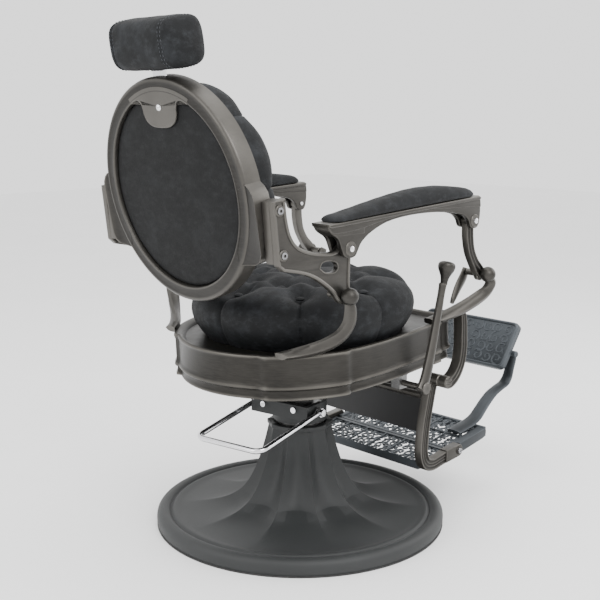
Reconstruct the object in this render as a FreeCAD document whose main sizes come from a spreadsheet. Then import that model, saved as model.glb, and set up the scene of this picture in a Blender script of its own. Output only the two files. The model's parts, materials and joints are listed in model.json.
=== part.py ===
import FreeCAD, Part
import math
import os
import re
import Sketcher

# Hydraulic barber chair.  Millimetres, +Z up, origin on the floor under the column.
# The sitter faces -Y and the sitter's right hand is towards -X.
# Side outlines are written as (forward, up), so forward is -Y.

V = FreeCAD.Vector
doc = FreeCAD.newDocument("BarberChair")
sheet = doc.addObject("Spreadsheet::Sheet", "Sizes")

SIZES = {
    # base and column
    "base_radius": 350, "rim_height": 38, "dish_radius": 314.5, "cover_wall": 4, "cover_foot": 4,
    "trumpet_radius": 72, "trumpet_top": 250, "plate_radius": 326, "plate_thick": 8,
    "ring_inner": 330, "hub_outer": 68, "hub_inner": 62.05, "hub_top": 238, "flange_radius": 100,
    "flange_thick": 8, "washer_thick": 8, "bush_inner": 58.05, "bush_length": 40,
    "cylinder_radius": 58, "cylinder_bore": 40, "cylinder_top": 300, "cylinder_floor": 12,
    "neck_radius": 65, "neck_low": 254, "neck_high": 302, "gland_thick": 14, "gland_bore": 35.05,
    "ram_radius": 35, "ram_low": 60, "ram_high": 400, "piston_radius": 39.95, "piston_thick": 14,
    # foot pump
    "pump_turn": 10, "pedal_rod": 6.5, "pedal_half": 93, "pedal_reach": 271, "pedal_drop": 37,
    "pedal_pivot_out": 48, "pedal_pivot_up": 293, "stub_radius": 5, "yoke_thick": 12,
    "loop_rod": 3.2, "yoke_height": 34, "ring_low": 0,
    # seat
    "seat_level": 486, "seat_tilt": 2.5, "seat_rear_radius": 265, "seat_rear_centre": -35,
    "seat_front": 293, "seat_front_half": 240, "seat_wall": 14, "skirt_upper": 72,
    "skirt_lower": 26, "skirt_step": 6, "pan_thick": 6, "pan_sink": 30, "cushion_radius": 250,
    "cushion_foot": 236, "cushion_top": 112, "cushion_centre": 10, "mount_thick": 10,
    "mount_half": 95,
    # side linkage
    "tongue_in": 280.5, "tongue_thick": 18, "horn_in": 252, "horn_thick": 28, "pivot_pin": 8,
    "pivot_bore": 8.05, "arm_pin": 5, "arm_bore": 5.05, "loose_bore": 6.6, "ball_radius": 18.5,
    "rear_pivot_f": -155, "rear_pivot_z": 612, "front_pivot_f": 314, "front_pivot_z": 606,
    "rear_pin_f": -152, "rear_pin_z": 711, "front_pin_f": 260, "front_pin_z": 737,
    "beam_in": 268, "beam_thick": 44, "slot_thick": 19, "pad_in": 262, "pad_thick": 60,
    # back and headrest
    "back_tilt": 10, "back_forward": -368, "back_up": 819, "back_radius": 240, "ring_width": 33,
    "band_depth": 42, "tongue_depth": 12, "panel_in": 4, "panel_thick": 7, "board_in": 28,
    "board_thick": 12, "back_cushion_radius": 218, "back_cushion_in": 42.3,
    "back_cushion_thick": 88, "post_half": 20, "post_in": 14.1, "post_thick": 6,
    "post_low": 96, "head_pivot_s": 258, "head_low": 252, "head_high": 357, "head_half": 105,
    "head_back": -32, "head_front": 74, "head_axle": 5,
    # leg rest
    "leg_pivot_f": 245, "leg_pivot_z": 345, "leg_in": 196, "leg_thick": 22, "leg_pin": 6,
    "leg_bore": 6.05, "scroll_in": 236, "scroll_thick": 26, "fold_f": 345,
    "fold_z": 142, "fold_pin": 5, "fold_bore": 5.05, "step_half": 205, "step_front": 478,
    "step_rise": 10, "step_height": 27, "arm_in": 138, "arm_width": 40, "plate_half": 160,
    "plate_pin": 4, "plate_seat": 3.5, "plate_bore": 4.05, "plate_pivot_f": 652, "plate_pivot_z": 330,
    # recline lever
    "lever_f": 118, "lever_z": 362, "shaft_radius": 7, "lever_plane": 288, "knob_radius": 20,
}
for row, (alias, amount) in enumerate(SIZES.items(), start=1):
    sheet.set(f"A{row}", alias)
    sheet.set(f"B{row}", str(amount))
    sheet.setAlias(f"B{row}", alias)
doc.recompute()

nodes = []
SIDES = (("right", -1), ("left", 1))


def size(alias):
    """Read one driving dimension."""
    return float(getattr(sheet, alias))


def bind(thing, prop, formula):
    """Tie a property to the sheet; every word of the formula is an alias."""
    thing.setExpression(prop, re.sub(r"([a-z][a-z_]+)", r"Sizes.\1", formula))


def named(thing, label):
    """Make an object one of the chair's own pieces."""
    thing.Label = label
    nodes.append(thing)
    return thing


def draw(sketch, outline):
    """Draw a closed outline: a point is a straight run, a list of points a smooth one."""
    here = outline[0]
    for step in list(outline[1:]) + [outline[0]]:
        run = [here] + (step if isinstance(step, list) else [step])
        points = [V(x, y, 0) for x, y in run]
        here = run[-1]
        if len(points) > 2:
            curve = Part.BSplineCurve()
            curve.interpolate(points)
            sketch.addGeometry(curve, False)
        elif (points[0] - points[1]).Length > 0.001:
            sketch.addGeometry(Part.LineSegment(*points), False)


def new_sketch(body, role):
    plane = next(item for item in body.Origin.OriginFeatures if item.Role == role)
    sketch = body.newObject("Sketcher::SketchObject", "Outline")
    sketch.AttachmentSupport = [(plane, "")]
    sketch.MapMode = "FlatFace"
    return sketch


def new_body(label):
    return named(doc.addObject("PartDesign::Body", "Body"), label)


def bore(sketch, x, y, radius):
    """Add a round hole whose radius comes from the sheet."""
    circle = sketch.addGeometry(Part.Circle(V(x, y, 0), V(0, 0, 1), size(radius)), False)
    number = sketch.addConstraint(Sketcher.Constraint("Radius", circle, size(radius)))
    bind(sketch, f"Constraints[{number}]", radius)


def pad(body, role, outline, depth, bores=()):
    """Pad one outline with its bores by a depth from the sheet."""
    sketch = new_sketch(body, role)
    draw(sketch, outline)
    for x, y, radius in bores:
        bore(sketch, x, y, radius)
    feature = body.newObject("PartDesign::Pad", "Pad")
    feature.Profile = sketch
    bind(feature, "Length", depth)
    return feature


def side_plate(label, side, inner, thick, outline, bores=()):
    """A plate standing beside the sitter, from `inner` outwards, drawn as (forward, up)."""
    turned = [[(-f, z) for f, z in step] if isinstance(step, list) else (-step[0], step[1])
              for step in outline]
    body = new_body(label)
    pad(body, "YZ_Plane", turned, thick, [(-f, z, radius) for f, z, radius in bores])
    low = size(inner) if side > 0 else -size(inner) - size(thick)
    body.Placement = FreeCAD.Placement(V(low, 0, 0), FreeCAD.Rotation())
    return body


def turned_piece(label, outline):
    """Turn a half outline of (radius, height) about the column's axis."""
    body = new_body(label)
    sketch = new_sketch(body, "XZ_Plane")
    draw(sketch, outline)
    feature = body.newObject("PartDesign::Revolution", "Revolution")
    feature.Profile = sketch
    feature.ReferenceAxis = (sketch, ["V_Axis"])
    feature.Angle = 360
    return body


def joined(label, shapes):
    """Join already made pieces into one node."""
    for shape in shapes:
        if shape in nodes:
            nodes.remove(shape)
            shape.Label = shape.Label + "_part"
    whole = doc.addObject("Part::MultiFuse", "Joined")
    whole.Shapes = shapes
    return named(whole, label)


def tube(label, outer, inner, low, length):
    """A tube about the column's axis, all of its sizes from the sheet."""
    outside = doc.addObject("Part::Cylinder", "Outside")
    inside = doc.addObject("Part::Cylinder", "Inside")
    bind(outside, "Radius", outer)
    bind(inside, "Radius", inner)
    for piece in (outside, inside):
        bind(piece, "Height", length)
        bind(piece, "Placement.Base.z", low)
    cut = doc.addObject("Part::Cut", "Tube")
    cut.Base, cut.Tool = outside, inside
    return named(cut, label)


def solid(label, shape, placement=None):
    """A piece whose shape is worked out here from the sheet's numbers."""
    piece = doc.addObject("Part::Feature", "Solid")
    piece.Shape = shape
    if placement is not None:
        piece.Placement = placement
    return named(piece, label)


def at(w, f, z):
    """A point given as sitter's right, forward, up."""
    return V(-w, -f, z)


def rod(radius, start, end):
    return Part.makeCylinder(radius, (end - start).Length, start, end - start)


def bent_rod(radius, points, bend):
    """A round rod along straight runs joined by arcs of one radius."""
    edges = []
    here = points[0]
    for before, corner, after in zip(points, points[1:], points[2:]):
        back = (before - corner).normalize()
        ahead = (after - corner).normalize()
        half = back.getAngle(ahead) / 2
        reach = bend / math.tan(half)
        start = corner + back * reach
        end = corner + ahead * reach
        middle = corner + (back + ahead).normalize() * (bend / math.sin(half) - bend)
        edges.append(Part.LineSegment(here, start).toShape())
        edges.append(Part.Arc(start, middle, end).toShape())
        here = end
    edges.append(Part.LineSegment(here, points[-1]).toShape())
    ring = Part.Wire([Part.Circle(points[0], points[1] - points[0], radius).toShape()])
    return Part.Wire(edges).makePipeShell([ring], True, False)


def block(w_low, w_high, f_low, f_high, z_low, z_high):
    """A box between two corners given as sitter's right, forward, up."""
    return Part.makeBox(w_high - w_low, f_high - f_low, z_high - z_low, V(-w_high, -f_high, z_low))


def prism(outline, w_low, w_high):
    """A straight-sided solid drawn as (forward, up) between two distances to the right."""
    corners = [at(w_high, f, z) for f, z in outline]
    face = Part.Face(Part.makePolygon(corners + corners[:1]))
    return face.extrude(V(w_high - w_low, 0, 0))


def screw(point, direction, shank, length, head, height):
    """A screw with a round head on the near side of `point`, its shank going `direction`."""
    way = V(direction).normalize()
    return rod(shank, point, point + way * length).fuse(rod(head, point - way * height, point))


def ball_stud(inner, flat, centre, f, z):
    """A pivot pin with a ball head outside, turned about its own axis across the chair."""
    pin, ball = size("pivot_pin"), size("ball_radius")
    lip = math.sqrt(ball ** 2 - (centre - flat) ** 2)
    turn = math.radians(45)
    profile = Part.Wire([
        Part.makePolygon([at(inner, f, z), at(inner, f, z + pin), at(flat, f, z + pin),
                          at(flat, f, z + lip)]),
        Part.Arc(at(flat, f, z + lip), at(centre + ball * math.sin(turn), f, z + ball * math.cos(turn)),
                 at(centre + ball, f, z)).toShape(),
        Part.makePolygon([at(centre + ball, f, z), at(inner, f, z)])])
    return Part.Face(profile).revolve(at(0, f, z), V(1, 0, 0), 360)


def seat_top(f):
    """Height of the seat frame's top edge, which rises towards the front."""
    return size("seat_level") + math.tan(math.radians(size("seat_tilt"))) * f


# ---------------------------------------------------------------- base, stays on the floor
def build_base():
    wall, foot = size("cover_wall"), size("cover_foot")
    radius, rim, dish = size("base_radius"), size("rim_height"), size("dish_radius")
    neck, top = size("trumpet_radius"), size("trumpet_top")
    outer = [(dish, 35), (250, 33), (190, 42), (145, 66), (115, 110), (93, 165), (78, 215), (neck, 246)]
    inner = [(r - wall, z - wall) for r, z in reversed(outer)]
    turned_piece("base_cover", [
        (neck - wall, top), (neck - wall, 242), inner[1:], (dish - 2, foot + 14),
        (radius - 14, foot + 14), (radius - 8, foot), (radius, foot), (radius, rim - 14),
        [(radius - 4, rim - 4), (radius - 14, rim)], (dish + 8, rim), (dish, 35),
        outer[1:], (neck, top)])
    plate = Part.makeCylinder(size("plate_radius"), size("plate_thick"))
    flange_up = size("plate_thick") + size("flange_thick")
    flange = Part.makeCylinder(size("flange_radius"), size("flange_thick"), V(0, 0, size("plate_thick")))
    tower = Part.makeCylinder(size("hub_outer"), size("hub_top") - flange_up, V(0, 0, flange_up))
    hole = Part.makeCylinder(size("hub_inner"), size("hub_top"), V(0, 0, flange_up))
    hub = flange.fuse(tower.cut(hole))
    ring = [V(84 * math.cos(a), 84 * math.sin(a), flange_up)
            for a in [math.radians(60 * k) for k in range(6)]]
    screws = Part.makeCompound([screw(p, V(0, 0, -1), 4, flange_up - 2, 7, 5) for p in ring])
    solid("base_plate", plate.cut(screws))
    solid("base_hub", hub.cut(screws))
    solid("hub_screws", screws)
    tube("floor_ring", "base_radius", "ring_inner", "ring_low", "cover_foot")
    washer = Part.makeCylinder(56, size("washer_thick"), V(0, 0, flange_up))
    solid("thrust_washer", washer.cut(Part.makeCylinder(20, 60)))
    tube("hub_bush", "hub_inner", "bush_inner", "hub_top - bush_length", "bush_length")


# ---------------------------------------------------------------- pump, turns in the base
def pump_frame():
    """The pump's own frame: X across, -Y away from the column towards the foot pedal."""
    return FreeCAD.Placement(V(0, 0, 0), FreeCAD.Rotation(V(0, 0, 1), 180 + size("pump_turn")))


def build_pump():
    low = size("plate_thick") + size("flange_thick") + size("washer_thick")
    floor, bore_radius, top = size("cylinder_floor"), size("cylinder_bore"), size("cylinder_top")
    radius = size("cylinder_radius")
    turned_piece("pump_cylinder", [
        (0, low), (radius, low), (radius, top), (bore_radius, top), (bore_radius, low + floor),
        (0, low + floor)])
    tube("pump_neck", "neck_radius", "cylinder_radius", "neck_low", "neck_high - neck_low")
    gland_low = size("neck_high")
    cap = Part.makeCylinder(62, size("gland_thick"), V(0, 0, gland_low))
    cap = cap.cut(Part.makeCylinder(size("gland_bore"), 400))
    solid("gland_nut", cap)

    out, up, half = size("pedal_pivot_out"), size("pedal_pivot_up"), size("pedal_half")
    thick, tall = size("yoke_thick"), size("yoke_height")
    cheek_in = half - 10 - thick
    low_z = up - tall / 2
    yoke = block(-cheek_in - thick, cheek_in + thick, 20, 84, low_z, low_z + tall)
    yoke = yoke.cut(block(-cheek_in, cheek_in, 0, 70, 0, 400))
    yoke = yoke.fuse(block(-cheek_in, cheek_in, 20, 75, low_z, low_z + 10))
    yoke = yoke.cut(Part.makeCylinder(size("neck_radius"), 400))
    yoke = yoke.cut(rod(size("stub_radius"), at(-120, out, up), at(120, out, up)))
    yoke_bolts = Part.makeCompound(
        [screw(at(w, 84, up + 6), V(0, 1, 0), 3, 14, 7, 5) for w in (-45, 45)])
    loop_w, loop_z = 58, 320
    spindle = rod(4, at(loop_w, 60, loop_z), at(loop_w, 114, loop_z))
    spindle = spindle.fuse(rod(6, at(loop_w, 111, loop_z), at(loop_w, 114, loop_z)))
    lug = block(loop_w - 8, loop_w + 8, 60, 81, low_z + tall, loop_z + 8)
    yoke = yoke.cut(yoke_bolts).fuse(spindle).fuse(lug)
    solid("pump_yoke", yoke, pump_frame())
    solid("yoke_bolts", yoke_bolts, pump_frame())
    stubs = [rod(size("stub_radius"), at(s * cheek_in, out, up), at(s * (half + 8), out, up)).fuse(
        rod(8, at(s * (half + 8), out, up), at(s * (half + 12), out, up))) for s in (-1, 1)]
    solid("pedal_pins", Part.makeCompound(stubs), pump_frame())

    rod_radius, reach, drop = size("pedal_rod"), size("pedal_reach"), size("pedal_drop")
    path = [at(-half, out + 8, up - 1), at(-half, reach, up - drop), at(half, reach, up - drop),
            at(half, out + 8, up - 1)]
    pedal = bent_rod(rod_radius, path, 22)
    for s in (-1, 1):
        eye = rod(11, at(s * half - 6.5, out, up), at(s * half + 6.5, out, up))
        pedal = pedal.fuse(eye)
    pedal = pedal.cut(rod(size("stub_radius") + 0.05, at(-150, out, up), at(150, out, up)))
    solid("pump_pedal", pedal, pump_frame())

    loop = bent_rod(size("loop_rod"), [
        at(loop_w + 5, 86, loop_z), at(136, 86, loop_z - 3), at(136, 106, loop_z - 3),
        at(loop_w + 5, 106, loop_z)], 9)
    boss = rod(7, at(loop_w, 82, loop_z), at(loop_w, 110, loop_z))
    loop = loop.fuse(boss).cut(rod(4.05, at(loop_w, 50, loop_z), at(loop_w, 130, loop_z)))
    solid("brake_loop", loop, pump_frame())
    eye_bolt = Part.makeTorus(8, 2.5, at(0, -84, 284), V(1, 0, 0))
    stem = rod(3, at(0, -65, 284), at(0, -74, 284))
    solid("oil_plug", stem.fuse(eye_bolt), pump_frame())


# ---------------------------------------------------------------- seat, lifted by the ram
def seat_frame_outline(inset):
    """Half-round at the rear and nearly straight to the front, as (across, forward)."""
    radius = size("seat_rear_radius") - inset
    centre, front = size("seat_rear_centre"), size("seat_front") - inset
    half = size("seat_front_half") - inset
    arc = [(radius * math.cos(a), centre + radius * math.sin(a))
           for a in [math.radians(-15 * k) for k in range(1, 12)]]
    return [(radius, centre), arc + [(-radius, centre)], [(-(radius + half) / 2 - 4, 130),
            (-half, front - 26)], [(-half + 8, front - 8), (-half + 26, front)],
            (half - 26, front), [(half - 8, front - 8), (half, front - 26)],
            [((radius + half) / 2 + 4, 130), (radius, centre)]]


def plan_outline(inset):
    return [[(-w, -f) for w, f in step] if isinstance(step, list) else (-step[0], -step[1])
            for step in seat_frame_outline(inset)]


def seat_place(drop):
    """The seat's own level, tipped up at the front."""
    tip = FreeCAD.Rotation(V(-1, 0, 0), size("seat_tilt"))
    return FreeCAD.Placement(V(0, 0, size("seat_level")), tip).multiply(
        FreeCAD.Placement(V(0, 0, -drop), FreeCAD.Rotation()))


def band(outer_inset, inner_inset, depth):
    """A hollow band following the seat's outline, as one padded sketch."""
    body = doc.addObject("PartDesign::Body", "Band")
    sketch = new_sketch(body, "XY_Plane")
    draw(sketch, plan_outline(outer_inset))
    draw(sketch, plan_outline(inner_inset))
    feature = body.newObject("PartDesign::Pad", "Pad")
    feature.Profile = sketch
    bind(feature, "Length", depth)
    return body


def build_seat():
    wall, step = size("seat_wall"), size("skirt_step")
    upper = band(0, wall, "skirt_upper")
    upper.Placement = seat_place(size("skirt_upper"))
    lower = band(step, wall, "skirt_lower")
    lower.Placement = seat_place(size("skirt_upper") + size("skirt_lower"))
    frame = doc.addObject("Part::MultiFuse", "Frame")
    frame.Shapes = [upper, lower]
    named(frame, "seat_frame")

    pan = new_body("seat_pan")
    pad(pan, "XY_Plane", plan_outline(wall), "pan_thick")
    pan.Placement = seat_place(size("pan_sink") + size("pan_thick"))

    foot, fat, high = size("cushion_foot"), size("cushion_radius"), size("cushion_top")
    cushion = turned_piece("seat_cushion", [
        (0, -28), (foot - 6, -28), [(foot, 0), (fat, 46), (fat - 12, 84), (fat - 60, high - 4)],
        (0, high)])
    middle = FreeCAD.Placement(V(0, -size("cushion_centre"), 0), FreeCAD.Rotation())
    cushion.Placement = seat_place(0).multiply(middle)

    half, thick = size("mount_half"), size("mount_thick")
    low = size("ram_high")
    tilt = math.radians(size("seat_tilt"))
    under_pan = size("seat_level") - (size("pan_sink") + size("pan_thick")) / math.cos(tilt)
    slope = math.tan(tilt)
    mount = prism([(-half, low), (half, low), (half, under_pan + slope * half),
                   (-half, under_pan - slope * half)], -half, half)
    mount = mount.cut(block(-half + thick, half - thick, -half - 1, half + 1, low + thick, 500))
    solid("seat_mount", mount)
    shaft = Part.makeCylinder(size("ram_radius"), size("ram_high") - size("ram_low"),
                              V(0, 0, size("ram_low")))
    solid("lift_ram", shaft)
    tube("ram_piston", "piston_radius", "ram_radius", "ram_low", "piston_thick")
    horns = [build_horns(name, side) for name, side in SIDES]
    for label, pieces in zip(("rear_horns", "rear_pivots", "front_horns"), zip(*horns)):
        joined(label, list(pieces))
    build_scrolls()


def mirror_side(shape, side):
    """Shapes are drawn on the sitter's right; the left one is the mirror image."""
    return shape if side < 0 else shape.mirror(V(0, 0, 0), V(1, 0, 0))


def build_horns(name, side):
    """Cast horns that rise from the seat frame to the four ball-headed pivots."""
    f, z = size("rear_pivot_f"), size("rear_pivot_z")
    inner, thick = size("horn_in"), size("horn_thick")
    stations = [(at(196, -196, seat_top(-196) - 3), 46, 40), (at(212, -176, 506), 40, 32),
                (at(242, -166, 536), 34, 28), (at(262, -158, 572), 30, 26)]
    wires = []
    for point, long, wide in stations:
        corners = [point + V(x * wide / 2, y * long / 2, 0)
                   for x, y in ((1, 1), (-1, 1), (-1, -1), (1, -1))]
        wires.append(Part.makePolygon(corners + corners[:1]))
    under_seat = Part.makeBox(800, 800, 50, V(-400, -400, -50))
    under_seat.Placement = seat_place(0)
    horn = Part.makeLoft(wires, True, True).cut(under_seat)
    head = rod(18, at(inner, f, z), at(inner + thick, f, z))
    cheek = block(inner, inner + thick, f - 15, f + 12, 572, z)
    horn = horn.fuse(cheek).fuse(head).removeSplitter()
    pin = rod(size("pivot_pin"), at(inner, f, z), at(302, f, z))
    horn = solid(f"rear_horn_{name}", mirror_side(horn.cut(pin), side))
    stud = ball_stud(inner, 299.2, 313, f, z)
    pivot = solid(f"rear_pivot_{name}", mirror_side(stud, side))

    f, z = size("front_pivot_f"), size("front_pivot_z")
    front = side_plate(f"front_horn_{name}", side, "horn_in", "horn_thick", [
        (202, seat_top(202)), (286, seat_top(286)),
        [(316, 534), (345, 562), (353, 592), (340, 618), (f, z + 18)],
        [(296, 612), (285, 585), (262, 557), (228, 532), (202, 514)]], [(f, z, "pivot_bore")])
    return horn, pivot, front


def build_scrolls():
    """Scrolled brackets under the seat frame's front corners, with the leg rest's pivot pins."""
    f, z = size("leg_pivot_f"), size("leg_pivot_z")
    inner = size("scroll_in")
    scrolls, pins = [], []
    for name, side in SIDES:
        scroll = side_plate(f"front_scroll_{name}", side, "scroll_in", "scroll_thick", [
            (296, 500), [(307, 470), (313, 420), (303, 380), (278, 350), (250, 324)],
            [(232, 326), (227, 345), (236, 360)],
            [(262, 372), (280, 396), (289, 420)], (294, 440)], [(f, z, "leg_pin")])
        pin = rod(size("leg_pin"), at(size("leg_in") - 3, f, z), at(inner + 24, f, z))
        head = rod(11, at(size("leg_in") - 8, f, z), at(size("leg_in") - 3, f, z))
        scrolls.append(scroll)
        pins.append(mirror_side(pin.fuse(head), side))
    joined("front_scrolls", scrolls)
    solid("leg_pins", Part.makeCompound(pins))


# ---------------------------------------------------------------- back, reclines at the rear balls
def back_place():
    """The back's own frame: X across, Y up its slope, Z forwards; origin at the shell's centre."""
    tip = FreeCAD.Rotation(V(1, 0, 0), 90 - size("back_tilt"))
    return FreeCAD.Placement(V(0, -size("back_forward"), size("back_up")), tip)


def slab(half, s_low, s_high, n_low, n_high):
    """A box in the back's frame, centred across it."""
    return Part.makeBox(2 * half, s_high - s_low, n_high - n_low, V(-half, s_low, n_low))


def disc(radius, n_low, thick):
    return Part.makeCylinder(radius, thick, V(0, 0, n_low))


def lobe(grow, n_low, n_high):
    """The rounded tongue that comes down from the top of the shell over the headrest clamp."""
    reach = size("back_radius") - size("ring_width") + 6
    wide, low = 66 + grow, 140 - grow
    corners = [(-100, reach), (-96, 192), (-wide, 188), (-wide + 8, low + 16), (-wide + 26, low),
               (wide - 26, low), (wide - 8, low + 16), (wide, 188), (96, 192), (100, reach)]
    outline = [V(x, y, n_low) for x, y in corners]
    face = Part.Face(Part.makePolygon(outline + outline[:1]))
    inside = disc(size("back_radius") - size("ring_width") + 4, n_low, n_high - n_low)
    return face.extrude(V(0, 0, n_high - n_low)).common(inside)


def build_back():
    radius, depth = size("back_radius"), size("band_depth")
    opening = radius - size("ring_width")
    post = slab(size("post_half") + 0.1, size("post_low") - 20, 300, size("post_in") - 0.1,
                size("post_in") + size("post_thick") + 0.1)
    ring = disc(radius, 0, depth)
    for s in (-1, 1):
        lug = [V(s * w, y, 0) for w, y in
               ((186, -138), (244, -132), (259, -112), (259, 2), (250, 22), (228, 34), (180, -20))]
        face = Part.Face(Part.makePolygon(lug + lug[:1]))
        ring = ring.fuse(face.extrude(V(0, 0, depth)))
    ring = ring.cut(disc(opening, -1, depth + 2)).fuse(lobe(0, 0, size("tongue_depth")))
    screw_hole = rod(4, V(0, 178, -20), V(0, 178, 13.9))
    solid("back_frame", ring.removeSplitter().cut(post).cut(screw_hole), back_place())
    clamp = slab(34, 92, 199, size("tongue_depth"), 27).cut(post).cut(screw_hole)
    solid("headrest_clamp", clamp, back_place())
    knob = screw_hole.common(disc(250, 0, 14)).fuse(rod(8, V(0, 178, -4), V(0, 178, 0)))
    solid("clamp_screw", knob, back_place())
    panel = disc(opening - 0.4, size("panel_in"), size("panel_thick"))
    solid("back_panel", panel.cut(lobe(0.5, 0, 20)), back_place())
    solid("back_board", disc(opening - 0.4, size("board_in"), size("board_thick")), back_place())

    low, thick, fat = size("back_cushion_in"), size("back_cushion_thick"), size("back_cushion_radius")
    cushion = turned_piece("back_cushion", [
        (0, low), (fat - 8, low), [(fat, low + 14), (fat, low + 44), (fat - 26, low + thick - 8),
                                   (fat - 60, low + thick)], (0, low + thick)])
    cushion.Placement = back_place()
    screws = [build_bracket(name, side) for name, side in SIDES]
    solid("bracket_screws", Part.makeCompound(screws))


def build_bracket(name, side):
    """The cast bracket that joins the shell's lug to the rear pivot and carries the armrest pin."""
    f, z = size("rear_pivot_f"), size("rear_pivot_z")
    pin_f, pin_z = size("rear_pin_f"), size("rear_pin_z")
    bracket = side_plate(f"bracket_web_{name}", side, "tongue_in", "tongue_thick", [
        (-352, 817), (-320, 824), [(-314, 770), (-293, 733), (-247, 712), (-184, 704)],
        [(-171, 714), (pin_f, pin_z + 17), (-134, 708)], [(-136, 680), (-135, 640), (-137, 612)],
        [(f, z - 19), (-176, 612), (-206, 634), (-250, 662), (-324, 680)], (-338, 692)],
        [(f, z, "pivot_bore"), (pin_f, pin_z, "arm_bore")])
    window = new_sketch(bracket, "YZ_Plane")
    draw(window, [(222, 676), [(214, 688), (196, 690), (176, 682), (174, 668), (190, 664), (212, 668),
                               (222, 676)]])
    pocket = bracket.newObject("PartDesign::Pocket", "Window")
    pocket.Profile = window
    pocket.Type = "ThroughAll"
    pocket.Reversed = True
    flange = prism([(-350, 816), (-322, 822), (-310, 690), (-338, 694)], 259.2, size("tongue_in"))
    spots = [at(size("tongue_in"), -335, 800), at(size("tongue_in"), -325, 712)]
    holes = Part.makeCompound([rod(4, p + V(0.1, 0, 0), p + V(40, 0, 0)) for p in spots])
    foot = solid(f"bracket_foot_{name}", mirror_side(flange.cut(holes), side))
    joined(f"back_bracket_{name}", [bracket, foot])
    reach = size("tongue_in") - size("beam_in") + 8.7
    screws = Part.makeCompound([rod(4, p + V(0.1, 0, 0), p + V(reach, 0, 0)) for p in spots])
    return mirror_side(screws, side)


def build_headrest():
    low, high = size("post_in"), size("post_in") + size("post_thick")
    pivot = size("head_pivot_s")
    middle = (low + high) / 2
    axle = size("head_axle")
    post = slab(size("post_half"), size("post_low"), pivot, low, high)
    knuckle = rod(9, V(-20, pivot, middle), V(20, pivot, middle))
    post = post.fuse(knuckle)
    post = post.fuse(rod(axle, V(-34, pivot, middle), V(34, pivot, middle)))
    solid("headrest_post", post, back_place())
    bracket = slab(30, pivot - 6, pivot + 20, middle - 12, middle + 12)
    bracket = bracket.cut(slab(20.5, 0, pivot + 12, -50, 90))
    bracket = bracket.cut(rod(axle + 0.05, V(-60, pivot, middle), V(60, pivot, middle)))
    solid("headrest_bracket", bracket, back_place())
    half, bottom, top = size("head_half"), size("head_low"), size("head_high")
    back, front = size("head_back"), size("head_front")
    pillow = slab(half, bottom, top, back, front)
    pillow = pillow.makeFillet(26, [edge for edge in pillow.Edges])
    recess = slab(35, 0, pivot + 20, middle - 19, middle + 19)
    solid("headrest_pad", pillow.cut(recess), back_place())


# ---------------------------------------------------------------- armrests and their front links
def beam_top(f):
    """Height of the armrest beam's straight top edge."""
    return 765 + 0.0598 * (f + 219)


def build_armrest(name, side):
    rear_f, rear_z = size("rear_pin_f"), size("rear_pin_z")
    front_f, front_z = size("front_pin_f"), size("front_pin_z")
    beam = side_plate(f"armrest_beam_{name}", side, "beam_in", "beam_thick", [
        (-219, beam_top(-219)), (266, beam_top(266)),
        [(281, 774), (279, 738), (front_f, front_z - 18), (243, 730), (220, 750), (176, 760)],
        [(100, 766), (15, 763), (-60, 749), (-108, 722), (-132, 697), (rear_f, rear_z - 20)],
        [(-174, 700), (-192, 728), (-219, beam_top(-219))]])
    slots = []
    middle = size("tongue_in") + size("tongue_thick") / 2
    half = size("slot_thick") / 2
    for f_low, f_high, ceiling in ((-240, -104, 736), (206, 300, 761)):
        slots.append(block(middle - half, middle + half, f_low, f_high, 660, ceiling))
    pins = []
    for f, z in ((rear_f, rear_z), (front_f, front_z)):
        outer = size("beam_in") + size("beam_thick")
        pin = rod(size("arm_pin"), at(size("beam_in") - 2, f, z), at(outer, f, z))
        pins.append(pin.fuse(rod(6.5, at(outer, f, z), at(outer + 2, f, z))))
    tools = mirror_side(Part.makeCompound(slots + pins), side)
    cutter = doc.addObject("Part::Feature", "Slots")
    cutter.Shape = tools
    beam.Label = f"beam_blank_{name}"
    nodes.remove(beam)
    cut = doc.addObject("Part::Cut", "Beam")
    cut.Base, cut.Tool = beam, cutter
    named(cut, f"armrest_beam_{name}")
    solid(f"armrest_pins_{name}", mirror_side(Part.makeCompound(pins), side))
    side_plate(f"armrest_pad_{name}", side, "pad_in", "pad_thick", [
        (-204, beam_top(-204)), (258, beam_top(258)),
        [(250, 803), (206, 813), (149, 817), (50, 808), (-80, 791), (-190, 777), (-204, beam_top(-204))]])

    low_f, low_z = size("front_pivot_f"), size("front_pivot_z")
    link = side_plate(f"link_web_{name}", side, "tongue_in", "tongue_thick", [
        (front_f - 15, front_z - 4), [(front_f, front_z + 14), (front_f + 15, front_z - 6)],
        [(280, 700), (300, 650), (326, 622), (low_f + 18, low_z)],
        [(low_f + 4, low_z - 18), (low_f - 15, low_z - 10)],
        [(284, 618), (260, 660), (246, 700), (front_f - 15, front_z - 4)]],
        [(low_f, low_z, "pivot_pin"), (front_f, front_z, "loose_bore")])
    stud = ball_stud(250.6, 298.5, 312, low_f, low_z)
    tail = prism([(low_f + 14, low_z + 4), (low_f - 2, low_z + 17), (low_f - 22, low_z),
                  (low_f - 50, low_z - 60), (low_f - 44, low_z - 74), (low_f - 24, low_z - 66),
                  (low_f + 4, low_z - 18)], 238, 250.6)
    pivot = solid(f"front_pivot_{name}", mirror_side(stud.fuse(tail), side))
    joined(f"front_link_{name}", [link, pivot])


# ---------------------------------------------------------------- leg rest
def step_top(f):
    """Height of the foot tray's upper face, which rises forwards."""
    return 152 + math.tan(math.radians(size("step_rise"))) * (f - 367)


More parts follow.
